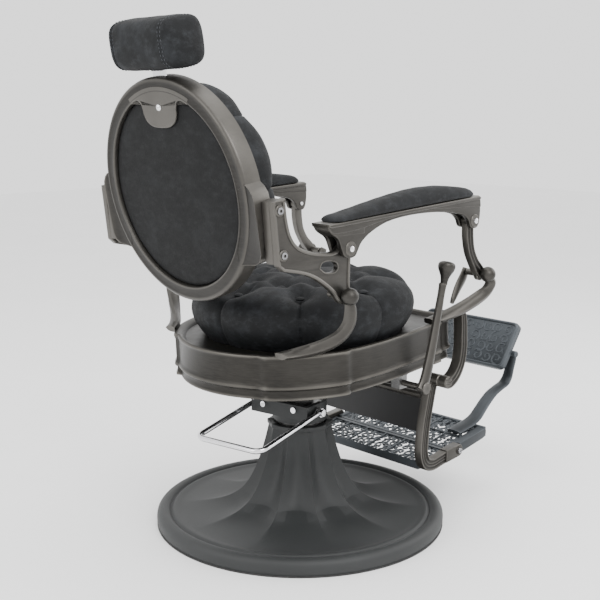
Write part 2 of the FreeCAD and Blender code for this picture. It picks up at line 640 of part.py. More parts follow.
def grate(half, f_low, f_high, thick):
    """A cast tray floor with rows of slots through it."""
    floor = prism([(f_low, step_top(f_low) - thick), (f_high, step_top(f_high) - thick),
                   (f_high, step_top(f_high)), (f_low, step_top(f_low))], -half, half)
    rows = max(2, round((f_high - f_low - 16) / 22))
    pitch = (f_high - f_low - 16) / rows
    slots = []
    for row in range(rows):
        start = f_low + 8 + pitch * (row + 0.5)
        for column in range(-4, 5):
            slots.append(block(column * 40 - 15, column * 40 + 15, start - 6, start + 6, 80, 220))
    return floor.cut(Part.makeCompound(slots))


def build_leg_rest():
    f, z = size("leg_pivot_f"), size("leg_pivot_z")
    fold_f, fold_z = size("fold_f"), size("fold_z")
    inner, thick = size("leg_in"), size("leg_thick")
    bars, bolts = [], []
    for name, side in SIDES:
        bar = side_plate(f"leg_bar_{name}", side, "leg_in", "leg_thick", [
            (f - 16, z), [(f, z + 16), (f + 16, z)],
            [(240, 300), (228, 240), (225, 180), (234, 150), (262, 143), (296, 148)],
            (fold_f, fold_z + 16), [(fold_f + 16, fold_z), (fold_f, fold_z - 17)],
            [(300, 126), (250, 112), (218, 114), (203, 132), (199, 180), (208, 250), (f - 16, z)]],
            [(f, z, "leg_bore"), (fold_f, fold_z, "fold_pin")])
        collar = rod(14, at(inner + thick, f, z), at(size("scroll_in") - 0.5, f, z))
        collar = collar.cut(rod(size("leg_bore"), at(100, f, z), at(300, f, z)))
        bars += [bar, solid(f"leg_collar_{name}", mirror_side(collar, side))]
        pin = rod(size("fold_pin"), at(inner - 14, fold_f, fold_z), at(inner + thick, fold_f, fold_z))
        pin = pin.fuse(rod(8, at(inner + thick, fold_f, fold_z), at(inner + thick + 3, fold_f, fold_z)))
        bolts.append(mirror_side(pin, side))
    joined("leg_bars", bars)
    solid("fold_bolts", Part.makeCompound(bolts))
    solid("leg_crossbar", rod(9, at(-inner, 226, 304), at(inner, 226, 304)))
    board = prism([(218, 212), (224, 210), (243, 316), (237, 318)], -inner + 10, inner - 10)
    solid("calf_board", board.cut(rod(9, at(-300, 226, 304), at(300, 226, 304))))
    half = inner - 14
    solid("calf_pad", prism([(224.5, 210.4), (246, 218), (262, 300), (243.5, 316.4)], -half, half))
    tray_in = size("leg_in")
    lip = prism([(216, 118), (223, 118), (223, step_top(223) + 6), (216, step_top(216) + 6)],
                -tray_in, tray_in)
    solid("foot_grate", grate(tray_in, 223, 322, 8).fuse(lip))


def build_foot_step():
    fold_f, fold_z = size("fold_f"), size("fold_z")
    half, front, tall = size("step_half"), size("step_front"), size("step_height")
    back = 326
    knuckle_in = size("leg_in") - 14
    floor = grate(knuckle_in - 1, back, front - 6, 8)
    lip = prism([(front - 8, step_top(front) - tall), (front, step_top(front) - tall + 4),
                 (front, step_top(front) - 4), (front - 8, step_top(front - 8))], -half, half)
    step = floor.fuse(lip)
    for s in (-1, 1):
        rail = prism([(fold_f + 21, step_top(fold_f + 21) - tall), (front - 4, step_top(front) - tall),
                      (front - 4, step_top(front)), (fold_f + 21, step_top(fold_f + 21))],
                     *sorted((s * (knuckle_in - 2), s * half)))
        ear = prism([(fold_f - 12, step_top(fold_f) - 20), (fold_f + 22, step_top(fold_f) - 20),
                     (fold_f + 22, step_top(fold_f + 22)), (fold_f - 12, step_top(fold_f - 12))],
                    *sorted((s * (knuckle_in - 2), s * (size("leg_in") - 0.3))))
        step = step.fuse(rail).fuse(ear)
    step = step.cut(rod(size("fold_bore"), at(-300, fold_f, fold_z), at(300, fold_f, fold_z)))
    solid("foot_step", step.removeSplitter())

    pivot_f, pivot_z = size("plate_pivot_f"), size("plate_pivot_z")
    inner, wide = size("arm_in"), size("arm_width")
    arms = []
    for name, side in SIDES:
        arm = side_plate(f"step_arm_{name}", side, "arm_in", "arm_width", [
            (404, step_top(404)), (462, step_top(462)), (479, step_top(479) + 1),
            [(500, 183), (540, 212), (572, 236), (612, 248), (633, 268), (640, 300), (668, 322)],
            [(664, 342), (645, 342), (628, 322), (622, 290), (604, 264), (566, 250), (534, 228),
             (500, 200), (462, 186), (412, 176), (404, step_top(404))]],
            [(pivot_f, pivot_z, "plate_seat")])
        pin = rod(size("plate_pin"), at(inner - 10, pivot_f, pivot_z),
                  at(inner + wide + 2, pivot_f, pivot_z))
        arms += [arm, solid(f"plate_pin_{name}", mirror_side(pin, side))]
    joined("step_arms", arms)

    slope = math.radians(55)
    along = (math.cos(slope), math.sin(slope))
    low = (596, 300)
    corners = [(low[0] + along[0] * a + along[1] * n, low[1] + along[1] * a - along[0] * n)
               for a, n in ((0, 0), (138, 0), (138, 20), (0, 20))]
    plate = prism(corners, -size("plate_half"), size("plate_half"))
    for s in (-1, 1):
        gap = block(*sorted((s * (inner - 1), s * 400)), 500, 720, 200, 500)
        band_cut = prism([(low[0] - 20, low[1] - 40), (low[0] + 80, low[1] - 40),
                          (low[0] + 80, 356), (low[0] + 14, 356)], *sorted((s * (inner - 1), s * 400)))
        plate = plate.cut(gap.common(band_cut))
        ear = rod(10, at(s * (inner - 9), pivot_f, pivot_z), at(s * (inner - 1), pivot_f, pivot_z))
        plate = plate.fuse(ear)
    plate = plate.cut(rod(size("plate_bore"), at(-300, pivot_f, pivot_z), at(300, pivot_f, pivot_z)))
    solid("foot_plate", plate)


# ---------------------------------------------------------------- recline lever
def build_lever():
    f, z, plane = size("lever_f"), size("lever_z"), size("lever_plane")
    shaft = rod(size("shaft_radius"), at(60, f, z), at(plane + 9, f, z))
    solid("recline_shaft", shaft)
    lever = prism([(f - 16, z - 4), (f - 4, z - 15), (f + 14, z - 8), (148, 425), (165, 492),
                   (179, 560), (194, 610), (182, 612), (163, 560), (147, 492), (124, 425)],
                  plane - 9, plane + 9)
    lever = lever.cut(shaft)
    knob = Part.makeSphere(size("knob_radius"), at(plane, 190, 629))
    solid("recline_lever", lever.fuse(knob))
    hanger = block(70, 100, f - 16, f + 16, z - 16, 434)
    hanger = hanger.fuse(block(-60, 59, f - 22, f + 22, z - 18, size("ram_high")))
    hanger = hanger.fuse(block(59, 100, f - 16, f + 16, 380, 398))
    hanger = hanger.cut(rod(size("shaft_radius") + 0.05, at(50, f, z), at(130, f, z)))
    solid("recline_lock", hanger)
    outer = block(200, 226, f - 13, f + 13, z - 14, seat_top(f) - 99)
    outer = outer.cut(rod(size("shaft_radius") + 0.05, at(150, f, z), at(280, f, z)))
    solid("shaft_bearing", outer)


build_base()
build_pump()
build_seat()
build_back()
build_headrest()
for side_name, side_sign in SIDES:
    build_armrest(side_name, side_sign)
build_leg_rest()
build_foot_step()
build_lever()
doc.recompute()

for item in doc.Objects:
    if "Invalid" in item.State or "Error" in item.State:
        raise RuntimeError(f"{item.Label} failed: {item.State}")
for piece in nodes:
    if piece.Shape.isNull() or not piece.Shape.isValid():
        raise RuntimeError(f"{piece.Label} has no valid shape")

os.makedirs("parts", exist_ok=True)
for piece in nodes:
    piece.Shape.exportStep(f"parts/{piece.Label}.step")
    print(piece.Label, round(piece.Shape.Volume / 1000), "cm3", len(piece.Shape.Solids), "solids")
print(len(nodes), "pieces")
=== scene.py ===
import json
import math

import bmesh
import bpy
from mathutils import Matrix, Vector, noise


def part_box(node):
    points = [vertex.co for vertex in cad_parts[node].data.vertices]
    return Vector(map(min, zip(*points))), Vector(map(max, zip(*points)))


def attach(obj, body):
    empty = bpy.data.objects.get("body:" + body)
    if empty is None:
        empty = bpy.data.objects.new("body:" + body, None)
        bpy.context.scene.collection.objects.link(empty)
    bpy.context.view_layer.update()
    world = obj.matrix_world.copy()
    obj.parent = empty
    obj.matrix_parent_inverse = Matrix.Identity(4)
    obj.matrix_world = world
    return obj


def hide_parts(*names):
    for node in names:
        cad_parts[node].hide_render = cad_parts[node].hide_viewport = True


# Hydraulic barber chair.  Metres, +Z up; the sitter faces -Y and their right hand is towards -X.
# Outlines are written as (forward, up), and points as P(right, forward, up).

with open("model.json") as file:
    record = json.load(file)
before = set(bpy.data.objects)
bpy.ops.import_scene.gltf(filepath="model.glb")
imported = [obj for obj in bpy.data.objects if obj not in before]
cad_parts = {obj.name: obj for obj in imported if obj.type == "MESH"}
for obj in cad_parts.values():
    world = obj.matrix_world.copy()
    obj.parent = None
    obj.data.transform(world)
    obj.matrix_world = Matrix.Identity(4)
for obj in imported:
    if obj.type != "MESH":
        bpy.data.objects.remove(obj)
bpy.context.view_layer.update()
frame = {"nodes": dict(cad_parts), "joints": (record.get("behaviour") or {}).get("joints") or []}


def P(w, f, z):
    return Vector((-w, -f, z))


# ---------------------------------------------------------------- places read from the frame
def joint_place(name):
    joint = next(j for j in frame["joints"] if j["name"] == name)
    return Vector(joint["pos_m"])


REAR_PIVOT = joint_place("back_recline")
FRONT_PIVOT = joint_place("front_link_right_hinge")
ARM_PIN = joint_place("armrest_right_hinge")
LEG_PIVOT = joint_place("leg_rest_raise")
FOLD_PIVOT = joint_place("foot_step_fold")
PLATE_PIVOT = joint_place("foot_plate_tilt")
LEVER_PIVOT = joint_place("recline_lever_pull")
TRUMPET_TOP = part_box("base_cover")[1].z
SEAT_LEVEL = 0.486
SEAT_TILT = math.radians(2.5)
BACK_TILT = math.radians(10)
BACK_CENTRE = P(0, -0.368, 0.819)
FRONT_PIN = (0.26, 0.737)


# ---------------------------------------------------------------- curves and meshes
def unit(value):
    """The value held between 0 and 1."""
    return max(0.0, min(1.0, value))


def catmull(points, steps, closed=False):
    """Smooth points of any dimension, `steps` to each span."""
    points = [Vector(p) for p in points]
    count = len(points)
    out = []
    for i in range(count if closed else count - 1):
        if closed:
            a, b, c, d = (points[(i + k - 1) % count] for k in range(4))
        else:
            b, c = points[i], points[i + 1]
            a = points[i - 1] if i else b * 2 - c
            d = points[i + 2] if i + 2 < count else c * 2 - b
        for k in range(steps):
            t = k / steps
            out.append(0.5 * (2 * b + (c - a) * t + (2 * a - 5 * b + 4 * c - d) * t * t
                              + (3 * b - a - 3 * c + d) * t * t * t))
    if not closed:
        out.append(points[-1])
    return out


def outline(spec, steps=7):
    """A closed outline: a point is a straight run, a list of points a smooth one."""
    here = spec[0]
    out = []
    for step in list(spec[1:]) + [spec[0]]:
        run = [here] + (step if isinstance(step, list) else [step])
        if len(run) > 2:
            out += [tuple(p) for p in catmull(run, steps)[:-1]]
        else:
            out.append(tuple(run[0]))
        here = run[-1]
    clean = [out[0]]
    for p in out[1:]:
        if (Vector(p) - Vector(clean[-1])).length > 1e-5:
            clean.append(p)
    return clean


def new_object(name, verts, faces, smooth_angle=40):
    mesh = bpy.data.meshes.new(name)
    mesh.from_pydata([tuple(v) for v in verts], [], faces)
    mesh.validate()
    bm = bmesh.new()
    bm.from_mesh(mesh)
    bmesh.ops.remove_doubles(bm, verts=bm.verts, dist=1e-6)
    bmesh.ops.recalc_face_normals(bm, faces=bm.faces)
    bm.to_mesh(mesh)
    bm.free()
    obj = bpy.data.objects.new(name, mesh)
    bpy.context.scene.collection.objects.link(obj)
    shade(obj, smooth_angle)
    return obj


def shade(obj, angle):
    """Smooth shading, with the edges sharper than `angle` degrees kept crisp."""
    mesh = obj.data
    mesh.shade_smooth()
    bm = bmesh.new()
    bm.from_mesh(mesh)
    limit = math.radians(angle)
    for edge in bm.edges:
        edge.smooth = not (len(edge.link_faces) == 2 and edge.calc_face_angle(0) > limit)
    bm.to_mesh(mesh)
    bm.free()


def rings_to_mesh(rings, closed_path=False, caps=True):
    """Join rings of equal length into one skin."""
    count = len(rings[0])
    verts = [v for ring in rings for v in ring]
    faces = []
    last = len(rings) if closed_path else len(rings) - 1
    for i in range(last):
        j = (i + 1) % len(rings)
        for k in range(count):
            m = (k + 1) % count
            faces.append((i * count + k, i * count + m, j * count + m, j * count + k))
    if caps and not closed_path:
        faces.append(tuple(range(count)))
        faces.append(tuple((len(rings) - 1) * count + k for k in reversed(range(count))))
    return verts, faces


def merge(parts):
    """Put several (verts, faces) skins into one."""
    verts, faces = [], []
    for more_verts, more_faces in parts:
        base = len(verts)
        verts += more_verts
        faces += [tuple(i + base for i in face) for face in more_faces]
    return verts, faces


def mirrored(skin):
    verts, faces = skin
    return [Vector((-v[0], v[1], v[2])) for v in verts], [tuple(reversed(f)) for f in faces]


def both_sides(skin):
    return merge([skin, mirrored(skin)])


def lathe(profile, axis_place, turns=96, wobble=None):
    """Turn (radius, height) points about the local Z of `axis_place`."""
    rings = []
    for r, z in profile:
        ring = []
        for k in range(turns):
            a = 2 * math.pi * k / turns
            radius, height = (r, z) if wobble is None else wobble(r, z, a)
            ring.append(axis_place @ Vector((radius * math.cos(a), radius * math.sin(a), height)))
        rings.append(ring)
    return rings_to_mesh(rings)


def fluted_section(flutes=2, depth=0.22, samples=14):
    """A strip's cross-section, from -1 to 1 each way, with grooves along its outer face."""
    points = [(-1, 0.82), (-1, -0.82), (-0.86, -1), (0.8, -1), (0.97, -0.92)]
    for k in range(samples + 1):
        y = -0.78 + 1.56 * k / samples
        points.append((1 - depth * abs(math.sin(flutes * math.pi * k / samples)) ** 0.7, y))
    return points + [(0.97, 0.92), (0.8, 1), (-0.86, 1)]


def ridged_section():
    """A strip with one soft ridge along the middle of its outer face."""
    return [(-1, 0.6), (-1, -0.6), (-0.7, -0.95), (0.1, -1), (0.55, -0.72), (0.86, -0.3), (1, 0),
            (0.86, 0.3), (0.55, 0.72), (0.1, 1), (-0.7, 0.95)]


def strip(stations, section, steps=8):
    """Sweep a section along stations of (right, forward, up, width across, thickness in side view)."""
    smooth = catmull(stations, steps)
    rings = []
    for i, s in enumerate(smooth):
        before = smooth[max(i - 1, 0)]
        after = smooth[min(i + 1, len(smooth) - 1)]
        along = Vector((after[1] - before[1], after[2] - before[2])).normalized()
        normal = Vector((-along.y, along.x))
        rings.append([P(s[0] + a * s[3] / 2, s[1] + normal.x * b * s[4] / 2, s[2] + normal.y * b * s[4] / 2)
                      for a, b in section])
    return rings_to_mesh(rings)


def tube_skin(points, radius, closed=False, sides=10, flat=1.0, up=None):
    """A round or flattened bead along points."""
    rings = []
    count = len(points)
    for i, p in enumerate(points):
        before = points[(i - 1) % count] if closed or i else points[0]
        after = points[(i + 1) % count] if closed or i < count - 1 else points[-1]
        along = (after - before).normalized()
        side = along.cross(up or Vector((1, 0, 0)))
        if side.length < 1e-4:
            side = along.orthogonal()
        side.normalize()
        other = side.cross(along).normalized()
        size = radius(i / max(count - 1, 1)) if callable(radius) else radius
        rings.append([p + side * math.cos(a) * size + other * math.sin(a) * size * flat
                      for a in [2 * math.pi * k / sides for k in range(sides)]])
    return rings_to_mesh(rings, closed_path=closed)


def plate_skin(points, w_in, w_out, edge, holes=()):
    """A cast plate standing beside the sitter, with rounded edges, drawn as (forward, up)."""
    curve = bpy.data.curves.new("Plate", "CURVE")
    curve.dimensions = "2D"
    curve.fill_mode = "BOTH"
    curve.extrude = abs(w_out - w_in) / 2 - edge
    curve.bevel_depth = edge
    curve.bevel_resolution = 2
    curve.offset = -edge
    for loop in [points] + list(holes):
        spline = curve.splines.new("POLY")
        spline.points.add(len(loop) - 1)
        for spot, (f, z) in zip(spline.points, loop):
            spot.co = (f, z, 0, 1)
        spline.use_cyclic_u = True
    holder = bpy.data.objects.new("Plate", curve)
    bpy.context.scene.collection.objects.link(holder)
    bpy.context.view_layer.update()
    mesh = bpy.data.meshes.new_from_object(holder.evaluated_get(bpy.context.evaluated_depsgraph_get()))
    bpy.data.objects.remove(holder)
    middle = (w_in + w_out) / 2
    verts = [P(middle + v.co.z, v.co.x, v.co.y) for v in mesh.vertices]
    faces = [tuple(p.vertices) for p in mesh.polygons]
    bpy.data.meshes.remove(mesh)
    return verts, faces


def rim_skin(points, w, radius, inset, closed=True):
    """A raised bead that follows an outline just inside its edge."""
    count = len(points)
    area = sum(points[i][0] * points[(i + 1) % count][1] - points[(i + 1) % count][0] * points[i][1]
               for i in range(count))
    sign = 1 if area > 0 else -1
    line = []
    for i in range(count):
        a, b = Vector(points[i - 1]), Vector(points[(i + 1) % count])
        along = (b - a).normalized()
        spot = Vector(points[i]) + Vector((-along.y, along.x)) * inset * sign
        line.append(P(w, spot.x, spot.y))
    return tube_skin(line, radius, closed=closed, sides=8)


# ---------------------------------------------------------------- materials
def material(name, base, roughness, metallic=0.0, sheen=0.0, coat=0.0, specular=0.5):
    mat = bpy.data.materials.new(name)
    mat.use_nodes = True
    nodes, links = mat.node_tree.nodes, mat.node_tree.links
    shader = nodes["Principled BSDF"]
    shader.inputs["Base Color"].default_value = (*base, 1)
    shader.inputs["Roughness"].default_value = roughness
    shader.inputs["Metallic"].default_value = metallic
    shader.inputs["Sheen Weight"].default_value = sheen
    shader.inputs["Sheen Roughness"].default_value = 0.45
    shader.inputs["Coat Weight"].default_value = coat
    shader.inputs["Specular IOR Level"].default_value = specular
    place = nodes.new("ShaderNodeTexCoord")
    return mat, nodes, links, shader, place.outputs["Object"]


def noise_node(nodes, links, place, scale, detail=4.0, stretch=None, rough=0.55):
    texture = nodes.new("ShaderNodeTexNoise")
    texture.inputs["Scale"].default_value = scale
    texture.inputs["Detail"].default_value = detail
    texture.inputs["Roughness"].default_value = rough
    source = place
    if stretch:
        mapping = nodes.new("ShaderNodeMapping")
        mapping.inputs["Scale"].default_value = stretch
        links.new(place, mapping.inputs["Vector"])
        source = mapping.outputs["Vector"]
    links.new(source, texture.inputs["Vector"])
    return texture.outputs["Fac"]


def ramp(nodes, links, value, stops):
    node = nodes.new("ShaderNodeValToRGB")
    elements = node.color_ramp.elements
    while len(elements) < len(stops):
        elements.new(0.5)
    for element, (position, colour) in zip(elements, stops):
        element.position = position
        element.color = (*colour, 1) if len(colour) == 3 else colour
    links.new(value, node.inputs["Fac"])
    return node.outputs["Color"]


def mixed(nodes, links, factor, first, second, blend="MIX"):
    node = nodes.new("ShaderNodeMix")
    node.data_type = "RGBA"
    node.blend_type = blend
    colour_inputs = [s for s in node.inputs if s.type == "RGBA"]
    if isinstance(factor, float):
        node.inputs["Factor"].default_value = factor
    else:
        links.new(factor, node.inputs["Factor"])
    for socket, value in zip(colour_inputs, (first, second)):
        if isinstance(value, tuple):
            socket.default_value = (*value, 1)
        else:
            links.new(value, socket)
    return next(s for s in node.outputs if s.type == "RGBA")


def scaled(nodes, links, value, low, high):
    node = nodes.new("ShaderNodeMapRange")
    node.inputs["To Min"].default_value = low
    node.inputs["To Max"].default_value = high
    links.new(value, node.inputs["Value"])
    return node.outputs["Result"]


def bumped(nodes, links, shader, height, strength, distance):
    node = nodes.new("ShaderNodeBump")
    node.inputs["Strength"].default_value = strength
    node.inputs["Distance"].default_value = distance
    links.new(height, node.inputs["Height"])
    links.new(node.outputs["Normal"], shader.inputs["Normal"])


def worn_metal(name, dark, middle, bright, metallic, low_rough, high_rough, stretch):
    """Antique metal: dark in its recesses, brushed along the casting, rubbed bright on its edges."""
    mat, nodes, links, shader, place = material(name, middle, 0.4, metallic)
    clouds = noise_node(nodes, links, place, 9.0, 5.0)
    brushed = noise_node(nodes, links, place, 40.0, 3.0, stretch)
    patina = ramp(nodes, links, clouds, [(0.32, dark), (0.68, middle)])
    streaked = mixed(nodes, links, scaled(nodes, links, brushed, 0.0, 0.55), patina, bright)
    geometry = nodes.new("ShaderNodeNewGeometry")
    edges = nodes.new("ShaderNodeValToRGB")
    edges.color_ramp.elements[0].position = 0.505
    edges.color_ramp.elements[1].position = 0.56
    links.new(geometry.outputs["Pointiness"], edges.inputs["Fac"])
    rubbed = nodes.new("ShaderNodeMath")
    rubbed.operation = "MULTIPLY"
    links.new(edges.outputs["Color"], rubbed.inputs[0])
    links.new(scaled(nodes, links, clouds, 0.35, 1.0), rubbed.inputs[1])
    links.new(mixed(nodes, links, rubbed.outputs[0], streaked, tuple(min(1, c * 2.1) for c in bright)),
              shader.inputs["Base Color"])
    links.new(scaled(nodes, links, brushed, low_rough, high_rough), shader.inputs["Roughness"])
    grain = noise_node(nodes, links, place, 380.0, 2.0)
    bumped(nodes, links, shader, grain, 0.16, 0.0006)
    return mat


def leather(name, dark, middle, bright, grain_scale, sheen):
    """Nubuck: cloudy colour, rubbed lighter on its crowns, with a fine pebbled nap."""
    mat, nodes, links, shader, place = material(name, middle, 0.7, 0.0, sheen, specular=0.22)
    clouds = noise_node(nodes, links, place, 14.0, 8.0, rough=0.68)
    scuffs = noise_node(nodes, links, place, 42.0, 6.0, (1, 1, 1.6), rough=0.72)
    base = ramp(nodes, links, clouds, [(0.3, dark), (0.52, middle), (0.74, bright)])
    rubbed = ramp(nodes, links, scuffs, [(0.52, (0, 0, 0)), (0.78, (1, 1, 1))])
    links.new(mixed(nodes, links, rubbed, base, bright), shader.inputs["Base Color"])
    links.new(scaled(nodes, links, scuffs, 0.82, 0.56), shader.inputs["Roughness"])
    cells = nodes.new("ShaderNodeTexVoronoi")
    cells.inputs["Scale"].default_value = grain_scale
    links.new(place, cells.inputs["Vector"])
    nap = noise_node(nodes, links, place, 900.0, 2.0)
    height = nodes.new("ShaderNodeMath")
    height.operation = "MULTIPLY_ADD"
    links.new(nap, height.inputs[0])
    height.inputs[1].default_value = 0.5
    links.new(cells.outputs["Distance"], height.inputs[2])
    bumped(nodes, links, shader, height.outputs[0], 0.35, 0.0009)
    return mat


def powder_coat():
    mat, nodes, links, shader, place = material("powder_coat", (0.032, 0.034, 0.034), 0.55, specular=0.4)
    clouds = noise_node(nodes, links, place, 5.0, 6.0)
    links.new(ramp(nodes, links, clouds, [(0.3, (0.015, 0.0163, 0.0165)), (0.75, (0.024, 0.0257, 0.026))]),
              shader.inputs["Base Color"])
    grains = noise_node(nodes, links, place, 520.0, 3.0)
    links.new(scaled(nodes, links, grains, 0.46, 0.66), shader.inputs["Roughness"])
    bumped(nodes, links, shader, grains, 0.3, 0.0009)
    return mat


def chromed(name, base, low_rough, high_rough):
    mat, nodes, links, shader, place = material(name, base, low_rough, 1.0)
    smears = noise_node(nodes, links, place, 60.0, 4.0)
    links.new(ramp(nodes, links, smears, [(0.25, tuple(c * 0.88 for c in base)), (0.8, base)]),
              shader.inputs["Base Color"])
    links.new(scaled(nodes, links, smears, low_rough, high_rough), shader.inputs["Roughness"])
    return mat


def plain_grain(name, dark, bright, roughness, scale, stretch=None, metallic=0.0):
    mat, nodes, links, shader, place = material(name, bright, roughness, metallic)
    fibres = noise_node(nodes, links, place, scale, 6.0, stretch)
    links.new(ramp(nodes, links, fibres, [(0.3, dark), (0.7, bright)]), shader.inputs["Base Color"])
    links.new(scaled(nodes, links, fibres, roughness - 0.08, roughness + 0.1), shader.inputs["Roughness"])
    bumped(nodes, links, shader, fibres, 0.2, 0.0006)
    return mat


ANTIQUE = worn_metal("antique_gunmetal", (0.006, 0.0055, 0.005), (0.019, 0.0175, 0.0155),
                     (0.066, 0.062, 0.055), 0.8, 0.3, 0.5, (1.2, 0.8, 14.0))
SIDE_METAL = worn_metal("antique_side", (0.006, 0.0055, 0.005), (0.018, 0.0168, 0.015),
                        (0.062, 0.0585, 0.053), 0.8, 0.3, 0.5, (1.0, 1.4, 6.0))
STEP_METAL = worn_metal("antique_step", (0.004, 0.0046, 0.0055), (0.01, 0.0115, 0.0135),
                        (0.04, 0.045, 0.05), 0.65, 0.34, 0.56, (3.0, 3.0, 3.0))
NUBUCK = leather("nubuck", (0.002, 0.0022, 0.0026), (0.0048, 0.0054, 0.0062), (0.019, 0.021, 0.024), 420.0,
                 0.0)
PANEL_NUBUCK = leather("panel_nubuck", (0.0015, 0.0017, 0.0019), (0.003, 0.0033, 0.0037),
                       (0.0085, 0.0093, 0.0102), 420.0, 0.0)
COAT = powder_coat()
CHROME = chromed("chrome", (0.82, 0.82, 0.84), 0.06, 0.16)
DARK_CHROME = chromed("dark_chrome", (0.3, 0.3, 0.31), 0.12, 0.24)
MACHINED = plain_grain("machined_steel", (0.1, 0.1, 0.1), (0.22, 0.22, 0.215), 0.36, 90.0,
                       (1, 1, 12), 0.9)
BRONZE = plain_grain("bronze", (0.3, 0.2, 0.09), (0.5, 0.36, 0.18), 0.36, 80.0, None, 0.9)
RUBBER = plain_grain("rubber", (0.012, 0.012, 0.012), (0.03, 0.03, 0.03), 0.75, 120.0)
WOOD = plain_grain("plywood", (0.2, 0.13, 0.07), (0.4, 0.28, 0.16), 0.6, 30.0, (1, 9, 1))
BLACK_BOARD = plain_grain("stained_board", (0.004, 0.004, 0.0045), (0.009, 0.009, 0.01), 0.5, 30.0,
                          (9, 1, 1))
THREAD = plain_grain("stitch_thread", (0.02, 0.022, 0.025), (0.07, 0.078, 0.086), 0.8, 600.0)


def finish_piece(obj, body, mat, slot_name, *nodes):
    obj.data.materials.clear()
    obj.data.materials.append(mat)
    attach(obj, body)
    if nodes:
        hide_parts(*nodes)
    return obj


def cast(name, skin, body, mat, slot_name, *nodes, angle=40):
    return finish_piece(new_object(name, *skin, smooth_angle=angle), body, mat, slot_name, *nodes)


# ---------------------------------------------------------------- pedestal
def build_base():
    """The pedestal's cover: a rolled rim, a shallow dish and a trumpet with ten hollow flutes."""
    flutes, turn = 10, math.radians(43.5)

    def hollow(r, z, a):
        share = ((a - turn) * flutes / (2 * math.pi)) % 1.0
        bowl = 1 - (2 * share - 1) ** 2
        rise = unit((0.3 - r) / 0.13)
        deep = (0.0225 * rise * rise * (3 - 2 * rise)) * min(1.0, 0.3 + (TRUMPET_TOP - z) / 0.13)
        if z > TRUMPET_TOP - 0.012:
            deep *= 0.55
        return r - deep * bowl, z - 0.006 * bowl * rise * min(1, r / 0.2)

    outer = catmull([(0.3135, 0.032), (0.31, 0.0345), (0.305, 0.035), (0.285, 0.0325),
                     (0.245, 0.035), (0.205, 0.0415), (0.172, 0.052),
                     (0.143, 0.071), (0.121, 0.101), (0.104, 0.139), (0.091, 0.178), (0.0815, 0.214),
                     (0.0765, 0.236)], 5)
    rim = catmull([(0.3485, 0.004), (0.35, 0.012), (0.35, 0.021), (0.3475, 0.0295), (0.341, 0.0355),
                   (0.332, 0.038), (0.325, 0.0372), (0.3205, 0.0345), (0.318, 0.0315), (0.316, 0.0305)], 4)
    collar = [(0.0765, 0.238), (0.0795, 0.24), (0.08, 0.246), (0.079, 0.2495), (0.0672, 0.25)]
    under = [(0.066, 0.2485), (0.066, 0.236), (0.09, 0.16), (0.125, 0.08), (0.2, 0.034), (0.3, 0.026),
             (0.336, 0.024), (0.342, 0.004)]
    profile = [tuple(p) for p in rim] + [tuple(p) for p in outer] + collar + under
    verts, faces = lathe(profile, Matrix.Identity(4), 240, hollow)
    count = 240
    faces = faces[:-2]
    rows = len(profile)
    faces += [(k, (rows - 1) * count + k, (rows - 1) * count + (k + 1) % count, (k + 1) % count)
              for k in range(count)]
    cast("pedestal_cover", (verts, faces), "root", COAT, "base_paint", "base_cover", angle=32)


# ---------------------------------------------------------------- seat frame
def seat_line(inset, count=220):
    """The seat's plan outline as (right, forward), moved inwards by `inset`, evenly spaced."""
    radius, middle, front = 0.265, -0.035, 0.293
    plan = [(radius * math.cos(a), middle + radius * math.sin(a))
            for a in [math.radians(-180 + 6 * k) for k in range(31)]]
    plan += [(0.2655, 0.02), (0.259, 0.1), (0.25, 0.18), (0.2425, 0.245), (0.238, 0.268),
             (0.222, 0.286), (0.2, front), (0.1, front), (0, front)]
    plan += [(-w, f) for w, f in reversed(plan[31:-1])]
    dense = catmull(plan, 6, closed=True)
    lengths = [0.0]
    for a, b in zip(dense, dense[1:] + dense[:1]):
        lengths.append(lengths[-1] + (b - a).length)
    out, k = [], 0
    for i in range(count):
        target = lengths[-1] * i / count
        while lengths[k + 1] < target:
            k += 1
        a, b = dense[k], dense[(k + 1) % len(dense)]
        share = (target - lengths[k]) / max(lengths[k + 1] - lengths[k], 1e-9)
        spot = a.lerp(b, share)
        along = (b - a).normalized()
        out.append((spot, Vector((-along.y, along.x))))
    return [s + n * inset for s, n in out] if not callable(inset) else [s + n * inset(s) for s, n in out]


def seat_point(w, f, z):
    """A point given from the seat's tipped top edge."""
    return Vector((-w, -f * math.cos(SEAT_TILT) + z * math.sin(SEAT_TILT),
                   SEAT_LEVEL + f * math.sin(SEAT_TILT) + z * math.cos(SEAT_TILT)))


def pilaster(spot):
    """How far the skirt stands out, at the raised panels beside the rear horns and at the front corners."""
    w, f = abs(spot.x), spot.y
    angle = math.degrees(math.atan2(f + 0.035, w))
    rear = unit((angle + 57) / 1.5) * unit((-13 - angle) / 1.5)
    front = unit((f - 0.186) / 0.006) * unit((0.232 - f) / 0.006) * (w > 0.2)
    return 0.0075 * rear + 0.006 * front


